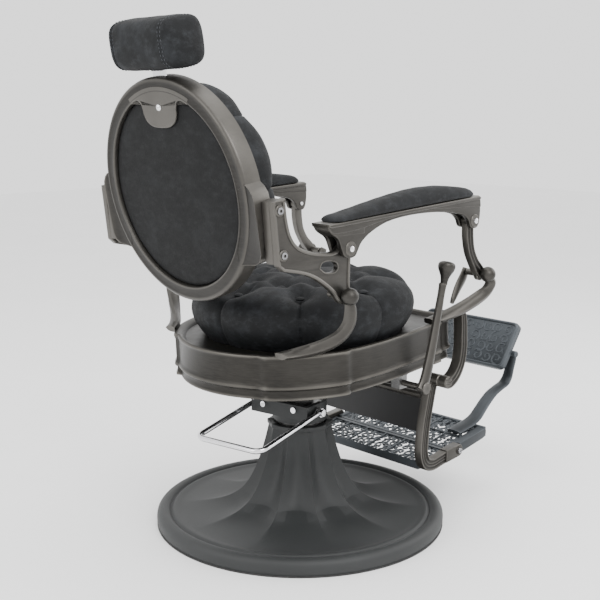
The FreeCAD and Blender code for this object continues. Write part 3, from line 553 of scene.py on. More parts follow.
def build_seat_frame():
    """The cast skirt: a deep upper band, a proud moulding, a set-in lower band and a ledge on top."""
    profile = [(0.105, -0.011), (0.06, -0.0105), (0.02, -0.01), (0.014, -0.004), (0.01, -0.0005),
               (0.005, 0.0),
               (0.0015, -0.0015), (0.0005, -0.004), (0.002, -0.008), (0.0035, -0.012), (0.0035, -0.06),
               (0.002, -0.066), (-0.0005, -0.0695), (-0.0005, -0.0735), (0.002, -0.0765), (0.006, -0.079),
               (0.007, -0.084), (0.006, -0.092), (0.0045, -0.0965), (0.006, -0.099), (0.012, -0.0995),
               (0.014, -0.097), (0.014, -0.02), (0.06, -0.018), (0.105, -0.018)]
    rings = []
    for inset, z in profile:
        swell = 1.0 if inset < 0.0125 else 0.0
        flare = 1 + 0.5 * max(0.0, (-z - 0.07) / 0.03)
        if inset > 0.03:
            line = [p * (1 - inset / 0.265) for p in seat_line(0.0)]
        else:
            line = seat_line(lambda s, inset=inset: inset - pilaster(s) * swell * flare)
        rings.append([seat_point(p.x, p.y, z) for p in line])
    cast("seat_skirt", rings_to_mesh(rings, closed_path=True, caps=False), "seat", ANTIQUE, "antique_metal",
         "seat_frame", angle=38)


# ---------------------------------------------------------------- cushions
def polar(r, degrees):
    return Vector((r * math.cos(math.radians(degrees)), r * math.sin(math.radians(degrees))))


def segment_gap(p, a, b):
    """Distance from p to the segment ab."""
    line = b - a
    t = unit((p - a).dot(line) / line.length_squared)
    return (p - a - line * t).length


def crease(distance, width):
    """1 on a seam, falling smoothly to 0 a width away."""
    return math.exp(-(distance / width) ** 2)


def cushion_dents(p, buttons, seams, button_deep, seam_deep, button_wide, seam_wide):
    """How far the cover is drawn in at a point by its buttons and its sewn seams."""
    deep = 0.0
    for b in buttons:
        deep = max(deep, button_deep * crease((p - b).length, button_wide))
    line = 0.0
    for a, b in seams:
        gap = segment_gap(p, a, b)
        line = max(line, crease(gap, seam_wide) * 0.5 + crease(gap, seam_wide * 3.5) * 0.5)
    return deep + seam_deep * line


def round_cushion(name, profile, place, buttons, seams, radial, deep, wrinkle, blunt=9.0, turns=224):
    """A round stuffed cushion: `profile` is (radius, height) up the side and over the crown.

    Past `blunt` it is pressed flatter, as a seat's front edge is.
    """
    count = len(profile)
    reach = max(r for r, z in profile)
    rings = []
    crown = max(z for r, z in profile)
    foot = min(z for r, z in profile)
    for i, (r, z) in enumerate(profile):
        ring = []
        a_next = Vector(profile[min(i + 1, count - 1)])
        a_last = Vector(profile[max(i - 1, 0)])
        along = (a_next - a_last).normalized()
        normal = Vector((along.y, -along.x))
        high = (z - foot) / (crown - foot)
        for k in range(turns):
            a = 2 * math.pi * k / turns
            p = Vector((r * math.cos(a), r * math.sin(a)))
            top = unit((high - 0.45) / 0.3)
            draw = cushion_dents(p, buttons, seams, deep[0], deep[1], 0.03, 0.006) * top
            turned = min(abs(((math.degrees(a) - s + 180) % 360) - 180) for s in radial)
            arc = math.radians(turned) * max(r, 0.02)
            side = max(1 - unit((high - 0.8) / 0.15), unit((r - reach * 0.52) / (reach * 0.1)))
            draw += (deep[1] * crease(arc, 0.003) * 1.2 + deep[1] * 1.5 * crease(arc, 0.034)) * side * (
                0.35 + 0.65 * min(1, high * 3))
            soft = noise.noise(Vector((p.x * 11, p.y * 11, z * 13)) + Vector((3, 1, 7)))
            fine = noise.noise(Vector((p.x * 34, p.y * 34, z * 30)))
            draw -= wrinkle * (soft + 0.35 * fine) * min(1, high * 4)
            spot = Vector((r, z)) - normal * draw
            ahead = spot.x * math.sin(a)
            ahead = min(ahead, blunt + (ahead - blunt) * 0.7)
            ring.append(place @ Vector((spot.x * math.cos(a), ahead, spot.y)))
        rings.append(ring)
    verts, faces = rings_to_mesh(rings)
    return new_object(name, verts, faces, smooth_angle=75)


def tufting(inner_radius, outer_radius):
    """Deep buttoning in diamonds: a middle button, two staggered rings and eight seams down the side."""
    inner = [polar(inner_radius, 22.5 + 45 * k) for k in range(8)]
    outer = [polar(outer_radius, 45 * k) for k in range(8)]
    middle = Vector((0.0, 0.0))
    seams = [(middle, inner[k]) for k in range(0, 8, 2)]
    for k in range(8):
        seams.append((inner[k], outer[k]))
        seams.append((inner[k], outer[(k + 1) % 8]))
        seams.append((inner[k], inner[(k + 1) % 8]))
    return [middle] + inner + outer, [45 * k for k in range(8)], seams


def button_skins(place, buttons, height, radius=0.0105):
    """Leather-covered buttons sitting in their tufts."""
    skins = []
    for b in buttons:
        dome = [(0.0001, 0.0042), (radius * 0.45, 0.0038), (radius * 0.8, 0.0022), (radius, 0.0),
                (radius * 0.9, -0.003), (0.0001, -0.004)]
        skins.append(lathe(dome, place @ Matrix.Translation((b.x, b.y, height(b))), 20))
    return merge(skins)


def upholster(kind, control, place, rings, draw, button_low, fill, **shape):
    """A tufted cushion and its buttons; `button_low` is their height in the middle and in the outer ring."""
    profile = [tuple(p) for p in catmull(control, 7)]
    buttons, radial, seams = tufting(*rings)
    cushion = round_cushion(f"{kind}_cushion_cover", profile, place, buttons, seams, radial, *draw, **shape)
    finish_piece(cushion, kind, NUBUCK, "leather", f"{kind}_cushion")
    middle = sum(rings) / 2
    heads = button_skins(place, buttons, lambda b: button_low[b.length > middle])
    cast(f"{kind}_buttons", heads, kind, NUBUCK, "leather")


def build_seat_cushion():
    tip = Matrix(((-1, 0, 0, 0), (0, -math.cos(SEAT_TILT), math.sin(SEAT_TILT), 0),
                  (0, math.sin(SEAT_TILT), math.cos(SEAT_TILT), SEAT_LEVEL), (0, 0, 0, 1)))
    control = [(0.05, -0.012), (0.2, -0.012), (0.232, -0.011), (0.24, -0.004), (0.25, 0.01),
               (0.262, 0.034), (0.2655, 0.058), (0.259, 0.082), (0.241, 0.102), (0.212, 0.114),
               (0.17, 0.12), (0.125, 0.123), (0.08, 0.1245), (0.03, 0.125), (0.001, 0.125)]
    upholster("seat", control, tip @ Matrix.Translation((0, 0.012, 0)), (0.118, 0.198),
              ((0.0165, 0.0045), 0.0016), (0.1085, 0.101), 0.8, blunt=0.185)


def back_matrix():
    """The back's own frame: X across, Y up its slope, Z towards the sitter."""
    up = Vector((0, math.sin(BACK_TILT), math.cos(BACK_TILT)))
    ahead = Vector((0, -math.cos(BACK_TILT), math.sin(BACK_TILT)))
    m = Matrix.Identity(4)
    for row in range(3):
        m[row][0] = (1, 0, 0)[row]
        m[row][1] = up[row]
        m[row][2] = ahead[row]
        m[row][3] = BACK_CENTRE[row]
    return m


BACK = back_matrix()


def build_back_cushion():
    control = [(0.02, 0.0425), (0.18, 0.0425), (0.212, 0.043), (0.2185, 0.049), (0.2215, 0.062),
               (0.221, 0.08), (0.2145, 0.099), (0.2, 0.114), (0.176, 0.124), (0.145, 0.1295),
               (0.1, 0.132), (0.05, 0.133), (0.001, 0.1332)]
    upholster("back", control, BACK, (0.095, 0.16), ((0.015, 0.0042), 0.0014), (0.1185, 0.114), 0.75)


def build_back_panel():
    """The leather panel behind, gently domed towards the rear with a piped edge."""
    rings = []
    turns = 120
    for r, z in [(0.001, 0.0035), (0.05, 0.0037), (0.1, 0.0043), (0.15, 0.0052), (0.18, 0.006),
                 (0.196, 0.007), (0.203, 0.0086), (0.2062, 0.011), (0.2062, 0.018), (0.001, 0.018)]:
        ring = []
        for k in range(turns):
            a = 2 * math.pi * k / turns
            wave = 0.0006 * noise.noise(Vector((r * math.cos(a) * 22, r * math.sin(a) * 22, 0.4)))
            ring.append(BACK @ Vector((r * math.cos(a), r * math.sin(a), z + wave * (z < 0.009))))
        rings.append(ring)
    panel = cast("rear_panel_cover", rings_to_mesh(rings), "back", PANEL_NUBUCK, "rear_leather",
                 "back_panel", angle=60)


def lobe_line(steps=6):
    """The tongue's edge inside the ring, in the back's own frame."""
    half = [(0.0, 0.1375), (0.026, 0.1395), (0.044, 0.148), (0.053, 0.162), (0.056, 0.178),
            (0.062, 0.189), (0.073, 0.1935), (0.086, 0.1905), (0.097, 0.185)]
    right = catmull(half, steps)
    return [Vector((-p.x, p.y)) for p in reversed(right)][:-1] + right


def build_back_frame():
    """The round cast shell: beaded face ring, deep band, side lugs and the tongue at the top."""
    profile = [(0.24, 0.0415), (0.24, 0.008), (0.2385, 0.0035), (0.235, 0.0006), (0.231, 0.0),
               (0.2285, 0.0005), (0.2262, 0.0008), (0.215, 0.0008), (0.2128, 0.0004), (0.2105, 0.0),
               (0.2085, 0.001), (0.2072, 0.0036), (0.207, 0.012), (0.207, 0.0415), (0.209, 0.042),
               (0.2385, 0.042)]
    verts, faces = lathe(profile, BACK, 160)
    faces = faces[:-2]
    count, rows = 160, len(profile)
    faces += [((rows - 1) * count + k, k, (k + 1) % count, (rows - 1) * count + (k + 1) % count)
              for k in range(count)]
    parts = [(verts, faces)]
    line = lobe_line()
    rim = []
    for k in range(25):
        a = math.radians(62.3 + 55.4 * k / 24)
        rim.append(Vector((0.22 * math.cos(a), 0.22 * math.sin(a))))
    loop = line + rim
    front = [BACK @ Vector((p.x, p.y, 0.0003)) for p in loop]
    rear = [BACK @ Vector((p.x, p.y, 0.01)) for p in loop]
    middle = BACK @ Vector((0, 0.18, 0.0003))
    n = len(loop)
    tongue = front + rear + [middle, BACK @ Vector((0, 0.18, 0.01))]
    tongue_faces = [(k, (k + 1) % n, n + (k + 1) % n, n + k) for k in range(n)]
    tongue_faces += [(2 * n, (k + 1) % n, k) for k in range(n)]
    tongue_faces += [(2 * n + 1, n + k, n + (k + 1) % n) for k in range(n)]
    parts.append((tongue, tongue_faces))
    bead = [BACK @ Vector((p.x, p.y, 0.0018)) for p in line]
    parts.append(tube_skin(bead, 0.0022, sides=8, up=BACK.to_3x3() @ Vector((0, 0, 1))))
    for s in (-1, 1):
        lug = [(0.186, -0.138), (0.2, -0.1365), (0.236, -0.133), (0.25, -0.126), (0.2575, -0.11),
               (0.259, -0.06), (0.259, -0.005), (0.256, 0.01), (0.248, 0.022), (0.2375, 0.03),
               (0.214, 0.018), (0.214, -0.02), (0.204, -0.07), (0.186, -0.11)]
        depths = [(0.0022, 0.9), (0.0005, 1.0), (0.04, 1.0), (0.042, 0.99)]
        mid = Vector((0.226, -0.06))
        rings = []
        for z, size in depths:
            rings.append([BACK @ Vector((s * (mid.x + (w - mid.x) * (size if w > 0.22 else 1)),
                                         mid.y + (y - mid.y) * (1 if size == 1 else 0.975), z))
                          for w, y in lug])
        parts.append(rings_to_mesh(rings))
    cast("back_shell", merge(parts), "back", SIDE_METAL, "antique_metal", "back_frame", angle=34)


# ---------------------------------------------------------------- headrest
def build_headrest():
    """A stuffed pillow with sewn end caps, shaped round like a loaf."""
    low, high = 0.2525, 0.3565
    back, front = -0.0315, 0.0735
    cy, cz = (low + high) / 2, (back + front) / 2
    hy, hz = (high - low) / 2, (front - back) / 2
    rings = []
    stations = 57
    around = 64
    for i in range(stations):
        t = -1 + 2 * i / (stations - 1)
        x = 0.105 * t
        end = abs(t)
        shrink = (1 - max(0.0, (end - 0.8) / 0.2) ** 2.6) ** 0.5 if end > 0.8 else 1.0
        shrink = max(shrink, 0.02)
        seam = crease(abs(abs(x) - 0.0815), 0.0022) * 0.0026 + crease(abs(abs(x) - 0.0815), 0.012) * 0.0016
        ring = []
        for k in range(around):
            a = 2 * math.pi * k / around
            c, s = math.cos(a), math.sin(a)
            power = 3.4
            r = (abs(c) ** power + abs(s) ** power) ** (-1 / power)
            soft = 0.0012 * noise.noise(Vector((x * 26, c * 2.2, s * 2.2)))
            y = cy + (r * c * hy * (0.25 + 0.75 * shrink) - c * seam + c * soft)
            z = cz + (r * s * hz * (0.3 + 0.7 * shrink) - s * seam + s * soft)
            if shrink < 1:
                y = cy + (y - cy) * (0.6 + 0.4 * shrink)
                z = cz + (z - cz) * (0.6 + 0.4 * shrink)
            ring.append(BACK @ Vector((x, y, z)))
        rings.append(ring)
    pillow = new_object("headrest_pillow", *rings_to_mesh(rings), smooth_angle=70)
    finish_piece(pillow, "headrest", NUBUCK, "leather", "headrest_pad")
    skins = []
    for s in (-1, 1):
        for shift in (-0.0042, 0.0042):
            for k in range(44):
                a0 = 2 * math.pi * k / 44
                points = []
                for step in range(3):
                    a = a0 + step * 0.035
                    c, sn = math.cos(a), math.sin(a)
                    r = (abs(c) ** 3.4 + abs(sn) ** 3.4) ** (-1 / 3.4)
                    points.append(BACK @ Vector((s * (0.0815 + shift), cy + r * c * (hy - 0.0014),
                                                 cz + r * sn * (hz - 0.0014))))
                skins.append(tube_skin(points, 0.0007, sides=5))
    cast("headrest_stitching", merge(skins), "headrest", THREAD, "leather")


# ---------------------------------------------------------------- horns, brackets and links
def ball_skin(w, f, z, radius):
    profile = [(max(radius * math.sin(a), 1e-4), -radius * math.cos(a))
               for a in [math.pi * k / 24 for k in range(25)]]
    place = Matrix.Translation(P(w, f, z)) @ Matrix.Rotation(math.pi / 2, 4, "Y")
    return lathe(profile, place, 40)


def disc_skin(w_in, w_out, f, z, radius, edge=0.002):
    """A round boss across the chair with softened rims."""
    profile = [(1e-4, 0), (radius - edge, 0), (radius, edge), (radius, w_out - w_in - edge),
               (radius - edge, w_out - w_in), (1e-4, w_out - w_in)]
    place = Matrix.Translation(P(w_in, f, z)) @ Matrix.Rotation(-math.pi / 2, 4, "Y")
    return lathe(profile, place, 32)


def build_horns():
    """Four cast horns rising from the seat frame to the ball pivots, both sides in one casting each."""
    f, z = -REAR_PIVOT.y, REAR_PIVOT.z
    rear = strip([(0.194, -0.24, 0.4785, 0.036, 0.014), (0.212, -0.216, 0.4825, 0.037, 0.021),
                  (0.24, -0.191, 0.492, 0.036, 0.028), (0.27, -0.171, 0.508, 0.033, 0.032),
                  (0.294, -0.156, 0.53, 0.03, 0.031), (0.3085, -0.15, 0.556, 0.0275, 0.029),
                  (0.3135, -0.151, 0.58, 0.026, 0.025), (0.3135, f + 0.001, 0.602, 0.02, 0.021)],
                 ridged_section())
    balls = merge([ball_skin(0.313, f, z, 0.0186), disc_skin(0.252, 0.302, f, z, 0.008)])
    cast("rear_horn_castings", both_sides(merge([rear, balls])), "seat", SIDE_METAL, "antique_metal",
         "rear_horns", "rear_pivots")

    f, z = -FRONT_PIVOT.y, FRONT_PIVOT.z
    front = strip([(0.236, 0.196, 0.4985, 0.032, 0.014), (0.25, 0.23, 0.506, 0.033, 0.022),
                   (0.268, 0.266, 0.52, 0.033, 0.028), (0.288, 0.299, 0.541, 0.031, 0.03),
                   (0.303, 0.322, 0.562, 0.0285, 0.029), (0.313, 0.327, 0.583, 0.0265, 0.026),
                   (0.313, 0.321, 0.598, 0.02, 0.021)], ridged_section())
    knob = ball_skin(0.3125, f, z, 0.0186)
    cast("front_horn_castings", both_sides(merge([front, knob])), "seat", SIDE_METAL, "antique_metal",
         "front_horns")


def build_scrolls():
    """Fluted scroll brackets that hang from the front corners and curl back to the leg-rest pivot."""
    f, z = -LEG_PIVOT.y, LEG_PIVOT.z
    scroll = strip([(0.249, 0.29, 0.515, 0.028, 0.016), (0.249, 0.296, 0.49, 0.028, 0.02),
                    (0.249, 0.2985, 0.455, 0.027, 0.022), (0.249, 0.299, 0.42, 0.027, 0.023),
                    (0.249, 0.292, 0.385, 0.027, 0.024), (0.249, 0.274, 0.357, 0.027, 0.026),
                    (0.249, 0.25, 0.343, 0.027, 0.027), (0.249, 0.232, 0.345, 0.026, 0.02)],
                   fluted_section(2, 0.2))
    boss = disc_skin(0.2365, 0.2605, f, z, 0.015)
    cast("front_scroll_castings", both_sides(merge([scroll, boss])), "seat", SIDE_METAL, "antique_metal",
         "front_scrolls")


def bracket_outline():
    f, z = -REAR_PIVOT.y, REAR_PIVOT.z
    pin_f, pin_z = -ARM_PIN.y, ARM_PIN.z
    return outline([(-0.352, 0.817), (-0.32, 0.824),
                    [(-0.314, 0.782), (-0.303, 0.748), (-0.283, 0.726), (-0.247, 0.7125), (-0.2, 0.706),
                     (-0.178, 0.708)],
                    [(-0.17, 0.716), (pin_f, pin_z + 0.0165), (-0.1345, 0.708)],
                    [(-0.1365, 0.68), (-0.1375, 0.65), (-0.1375, 0.632)],
                    [(-0.137, 0.618), (-0.144, 0.5985), (f, z - 0.0185), (-0.17, 0.601),
                     (-0.185, 0.619), (-0.206, 0.636), (-0.236, 0.6545), (-0.27, 0.668),
                     (-0.324, 0.68)], (-0.338, 0.692)])


def build_bracket(name, flip):
    """The cast back bracket: a web with raised rims, a teardrop window and two recessed screws."""
    w_in, w_out = 0.2805, 0.2985
    edge = bracket_outline()
    window = outline([(-0.224, 0.676), [(-0.217, 0.6865), (-0.198, 0.689), (-0.178, 0.683),
                                          (-0.1735, 0.671), (-0.185, 0.664), (-0.208, 0.666),
                                          (-0.224, 0.676)]])
    web = plate_skin(edge, w_in + 0.001, w_out - 0.0035, 0.0025, [window])
    lower = [p for p in edge]
    rim = rim_skin(lower, w_out - 0.005, 0.0042, 0.004)
    inner_rim = rim_skin(edge, w_in + 0.0045, 0.004, 0.0038)
    window_rim = rim_skin(window, w_out - 0.004, 0.0016, -0.001)
    foot = outline([(-0.35, 0.816), (-0.322, 0.822), (-0.309, 0.69), (-0.338, 0.694)])
    block_skin = plate_skin(foot, 0.2594, 0.282, 0.002)
    bosses = merge([disc_skin(0.284, 0.299, f, z, 0.0115, 0.0015) for f, z in
                    ((-0.335, 0.8), (-0.325, 0.712))])
    skin = merge([web, rim, inner_rim, window_rim, block_skin, bosses])
    skin = mirrored(skin) if flip else skin
    cast(f"back_bracket_casting_{name}", skin, "back", SIDE_METAL, "antique_metal", f"back_bracket_{name}",
         angle=36)


def build_bracket_screws():
    """Socket-head screws with a hexagonal recess, in the brackets' bosses."""
    skins = []
    for f, z in ((-0.335, 0.8), (-0.325, 0.712)):
        place = Matrix.Translation(P(0.299, f, z)) @ Matrix.Rotation(-math.pi / 2, 4, "Y")
        head = [(1e-4, -0.0015), (0.003, -0.0015), (0.0033, 0.0022), (0.0066, 0.0024), (0.0073, 0.0016),
                (0.0073, -0.003), (1e-4, -0.003)]
        skins.append(lathe(head, place, 24, lambda r, z, a: (r * (0.9 + 0.1 * abs(math.cos(3 * a)))
                                                             if r < 0.0034 else r, z)))
    cast("bracket_screw_heads", both_sides(merge(skins)), "back", DARK_CHROME, "chrome", "bracket_screws")
    place = BACK @ Matrix.Translation((0, 0.178, 0.0012)) @ Matrix.Rotation(math.pi, 4, "X")
    dome = [(1e-4, 0.0046), (0.003, 0.0043), (0.0058, 0.003), (0.0074, 0.001), (0.0078, -0.001),
            (1e-4, -0.0012)]
    cast("clamp_screw_head", lathe(dome, place, 28), "back", CHROME, "chrome", "clamp_screw")


def beam_top(f):
    return 0.765 + 0.0598 * (f + 0.219)


def build_armrest(name, flip):
    """A cast beam with a straight waist moulding, forked ears round both pins, and a long padded cushion."""
    rear_f, rear_z = -ARM_PIN.y, ARM_PIN.z
    front_f, front_z = FRONT_PIN
    beam = outline([(-0.217, beam_top(-0.217)), (0.262, beam_top(0.262)),
                    [(0.2755, 0.786), (0.28, 0.765), (0.2785, 0.742), (0.272, 0.724),
                     (front_f, front_z - 0.0175), (0.246, 0.724), (0.237, 0.74), (0.218, 0.753),
                     (0.176, 0.762)],
                    [(0.11, 0.767), (0.03, 0.766), (-0.04, 0.7575), (-0.09, 0.74),
                     (-0.118, 0.722), (-0.129, 0.706), (-0.137, 0.695), (rear_f, rear_z - 0.0195),
                     (-0.168, 0.696), (-0.176, 0.71), (-0.186, 0.731), (-0.202, 0.745),
                     (-0.217, beam_top(-0.217))]])
    skins = []
    for w_in, w_out in ((0.269, 0.2797), (0.2993, 0.311)):
        skins.append(plate_skin(beam, w_in, w_out, 0.0022))
    top = outline([(-0.219, beam_top(-0.219)), (0.266, beam_top(0.266)),
                   [(0.277, 0.786), (0.28, 0.768)],
                   [(0.24, 0.77), (0.176, 0.7705), (0.1, 0.774), (0.02, 0.77), (-0.06, 0.76),
                    (-0.13, 0.748), (-0.2, 0.745), (-0.219, beam_top(-0.219) - 0.006)]])
    skins.append(plate_skin(top, 0.267, 0.313, 0.003))
    cap = outline([(-0.22, beam_top(-0.22) + 0.001), (0.268, beam_top(0.268) + 0.001),
                   [(0.2755, 0.791), (0.274, 0.7855), (0.268, 0.785)],
                   (-0.21, beam_top(-0.21) - 0.0085), (-0.218, beam_top(-0.22) - 0.006)])
    skins.append(plate_skin(cap, 0.2635, 0.3165, 0.0035))
    heel = outline([(-0.219, beam_top(-0.219)), (-0.11, beam_top(-0.11)), (-0.11, 0.7385),
                    [(-0.185, 0.7385), (-0.203, 0.743), (-0.215, 0.753), (-0.219, beam_top(-0.219))]])
    skins.append(plate_skin(heel, 0.2685, 0.3115, 0.003))
    skins.append(disc_skin(0.3095, 0.313, rear_f, rear_z, 0.0155, 0.0015))
    skins.append(disc_skin(0.3095, 0.313, front_f, front_z, 0.015, 0.0015))
    skin = merge(skins)
    skin = mirrored(skin) if flip else skin
    cast(f"armrest_casting_{name}", skin, f"armrest_{name}", SIDE_METAL, "antique_metal",
         f"armrest_beam_{name}", angle=36)

    ends = ((rear_f, rear_z), (front_f, front_z))
    dome = [(1e-4, 0.0045), (0.0035, 0.0042), (0.006, 0.0028), (0.0066, 0.0006), (0.0066, -0.002),
            (1e-4, -0.002)]
    pins = merge([lathe(dome, Matrix.Translation(P(0.313, f, z)) @ Matrix.Rotation(-math.pi / 2, 4, "Y"), 24)
                  for f, z in ends]
                 + [disc_skin(0.2665, 0.3125, f, z, 0.005, 0.0004) for f, z in ends])
    pins = mirrored(pins) if flip else pins
    cast(f"armrest_pin_heads_{name}", pins, f"armrest_{name}", CHROME, "chrome", f"armrest_pins_{name}")

    rings = []
    stations, around = 61, 40
    for i in range(stations):
        t = i / (stations - 1)
        f = -0.2 + 0.454 * t
        base = beam_top(f) + 0.0012
        end = min(t, 1 - t)
        close = math.sqrt(max(0.0, 1 - (1 - min(1.0, end / 0.055)) ** 2))
        crown = 0.01 + 0.028 * math.sin(math.pi * min(1.0, (t * 0.92 + 0.03)) ** 1.35)
        half = 0.03 * (0.35 + 0.65 * close) * (1 + 0.05 * math.sin(math.pi * t))
        tall = crown * (0.12 + 0.88 * close)
        ring = []
        for k in range(around):
            a = 2 * math.pi * k / around
            c, s = math.cos(a), math.sin(a)
            if s >= 0:
                w = 0.29 + half * math.copysign(abs(c) ** 0.72, c)
                z = base + tall * (0.3 + 0.7 * abs(s) ** 0.8)
                z += 0.0007 * noise.noise(Vector((w * 40, f * 30, 1.0)))
            else:
                w = 0.29 + half * (0.985 - 0.02 * abs(s)) * math.copysign(abs(c) ** 0.5, c)
                z = base + tall * 0.3 * (1 - abs(s) ** 0.5)
            ring.append(P(w, f, z))
        rings.append(ring)
    skin = rings_to_mesh(rings)
    skin = mirrored(skin) if flip else skin
    pad = new_object(f"armrest_cushion_{name}", *skin, smooth_angle=70)
    finish_piece(pad, f"armrest_{name}", NUBUCK, "leather", f"armrest_pad_{name}")


def build_link(name, flip):
    """The fluted front link with its eye, ball pivot and the tail that drives the leg rest."""
    f, z = -FRONT_PIVOT.y, FRONT_PIVOT.z
    top_f, top_z = FRONT_PIN
    path = [(top_f - 0.002, top_z + 0.004, 0.02), (top_f + 0.001, 0.72, 0.024),
            (0.263, 0.695, 0.024), (0.27, 0.665, 0.022), (0.285, 0.638, 0.022),
            (0.3, 0.62, 0.026), (f, z, 0.026)]
    link = strip([(0.2895, ahead, up, 0.0178, thick) for ahead, up, thick in path], fluted_section(2, 0.26))
    eye = disc_skin(0.2808, 0.2985, top_f, top_z, 0.014)
    hub = disc_skin(0.2808, 0.2935, f, z, 0.0165)
    pin = disc_skin(0.251, 0.2985, f, z, 0.008)
    tail = strip([(0.2445, f + 0.006, z + 0.006, 0.011, 0.02), (0.2445, f - 0.004, z - 0.014, 0.011, 0.026),
                  (0.2445, f - 0.022, z - 0.036, 0.011, 0.024), (0.2445, f - 0.038, z - 0.06, 0.011, 0.016),
                  (0.2445, f - 0.046, z - 0.073, 0.01, 0.008)], ridged_section())
    skin = merge([link, eye, hub, pin, tail])
    skin = mirrored(skin) if flip else skin
    cast(f"front_link_casting_{name}", skin, f"link_{name}", SIDE_METAL, "antique_metal",
         f"front_link_{name}")


def build_lever():
    """The tapered recline lever with its pear-shaped knob."""
    f, z = -LEVER_PIVOT.y, LEVER_PIVOT.z
    w = 0.288
    arm = strip([(w, f - 0.01, z - 0.004, 0.017, 0.026), (w, f + 0.004, z + 0.014, 0.018, 0.029),
                 (w, 0.131, 0.4, 0.018, 0.028), (w, 0.144, 0.445, 0.0175, 0.025),
                 (w, 0.156, 0.495, 0.017, 0.022), (w, 0.1665, 0.54, 0.0165, 0.019),
                 (w, 0.1745, 0.575, 0.016, 0.017), (w, 0.18, 0.597, 0.018, 0.019)], ridged_section())
    along = Vector((0, -0.236, 0.972)).normalized()
    profile = [(1e-4, -0.036), (0.0078, -0.034), (0.0085, -0.026), (0.0105, -0.016), (0.0145, -0.007),
               (0.0185, 0.001), (0.02, 0.008), (0.019, 0.0145), (0.015, 0.0185), (0.008, 0.0205),
               (1e-4, 0.021)]
    place = Matrix.Translation(P(w, 0.188, 0.627)) @ along.to_track_quat("Z", "Y").to_matrix().to_4x4()
    knob = lathe([tuple(p) for p in catmull(profile, 4)], place, 36)
    hub = disc_skin(0.277, 0.299, f, z, 0.014)
    cast("recline_lever_casting", merge([arm, knob, hub]), "lever", SIDE_METAL, "antique_metal",
         "recline_lever")


# ---------------------------------------------------------------- leg rest
TRAY_RISE = math.tan(math.radians(10))


def tray_top(f):
    return 0.152 + TRAY_RISE * (f - 0.367)


def scroll_line(u, v, size, turn, hand, turns=1.15, steps=15):
    """One C-scroll of the fretwork: a spiral in the plate's own plane."""
    points = []
    for k in range(steps + 1):
        t = k / steps
        a = turn + hand * t * turns * 2 * math.pi
        r = size * (1 - 0.78 * t)
        points.append((u + r * math.cos(a), v + r * math.sin(a)))
    return points


def fretwork(across, along, columns, rows, radius, place, phase=0.0, flat=0.55):
    """Vine scrolls that fill a rectangle, each one curling the other way from its neighbours."""
    skins = []
    for i in range(columns):
        for j in range(rows):
            u = across * (-1 + (2 * i + 1) / columns)
            v = along * (-1 + (2 * j + 1) / rows)
            hand = 1 if (i + j) % 2 else -1
            size = 0.56 * min(2 * across / columns, 2 * along / rows)
            mix = math.sin(3.1 * i + 1.7 * j + phase)
            line = scroll_line(u, v, size * (1 + 0.12 * mix), phase + 1.3 * i + 2.1 * j, hand)
            skins.append(tube_skin([place(*p) for p in line], lambda t: radius * (1.25 - 0.55 * t), sides=6,
                                   flat=flat, up=place(0, 0, 1.0) - place(0, 0, 0.0)))
            for leaf in (0.35, 0.68):
                p = line[int(leaf * (len(line) - 1))]
                q = (p[0] + size * 0.42 * math.cos(phase + 5 * leaf + i),
                     p[1] + size * 0.42 * math.sin(2 * j + 4 * leaf))
                mid = ((p[0] + q[0]) / 2 + 0.12 * size, (p[1] + q[1]) / 2)
                skins.append(tube_skin([place(*p), place(*mid), place(*q)],
                                       lambda t: radius * (1.1 - 0.7 * abs(2 * t - 1)), sides=6, flat=flat,
                                       up=place(0, 0, 1.0) - place(0, 0, 0.0)))
    return merge(skins)


def tray_place(f_mid, drop=0.004):
    return lambda u, v, n=0.0: P(u, f_mid + v, tray_top(f_mid + v) - drop + n)


def bar_skin(w_low, w_high, f_low, f_high, tall, up=0.0):
    """A straight rail of the tray that follows its slope."""
    spec = outline([(f_low, tray_top(f_low) + up - tall), (f_high, tray_top(f_high) + up - tall),
                    (f_high, tray_top(f_high) + up), (f_low, tray_top(f_low) + up)])
    return plate_skin(spec, w_low, w_high, min(0.002, tall / 3, (w_high - w_low) / 3))


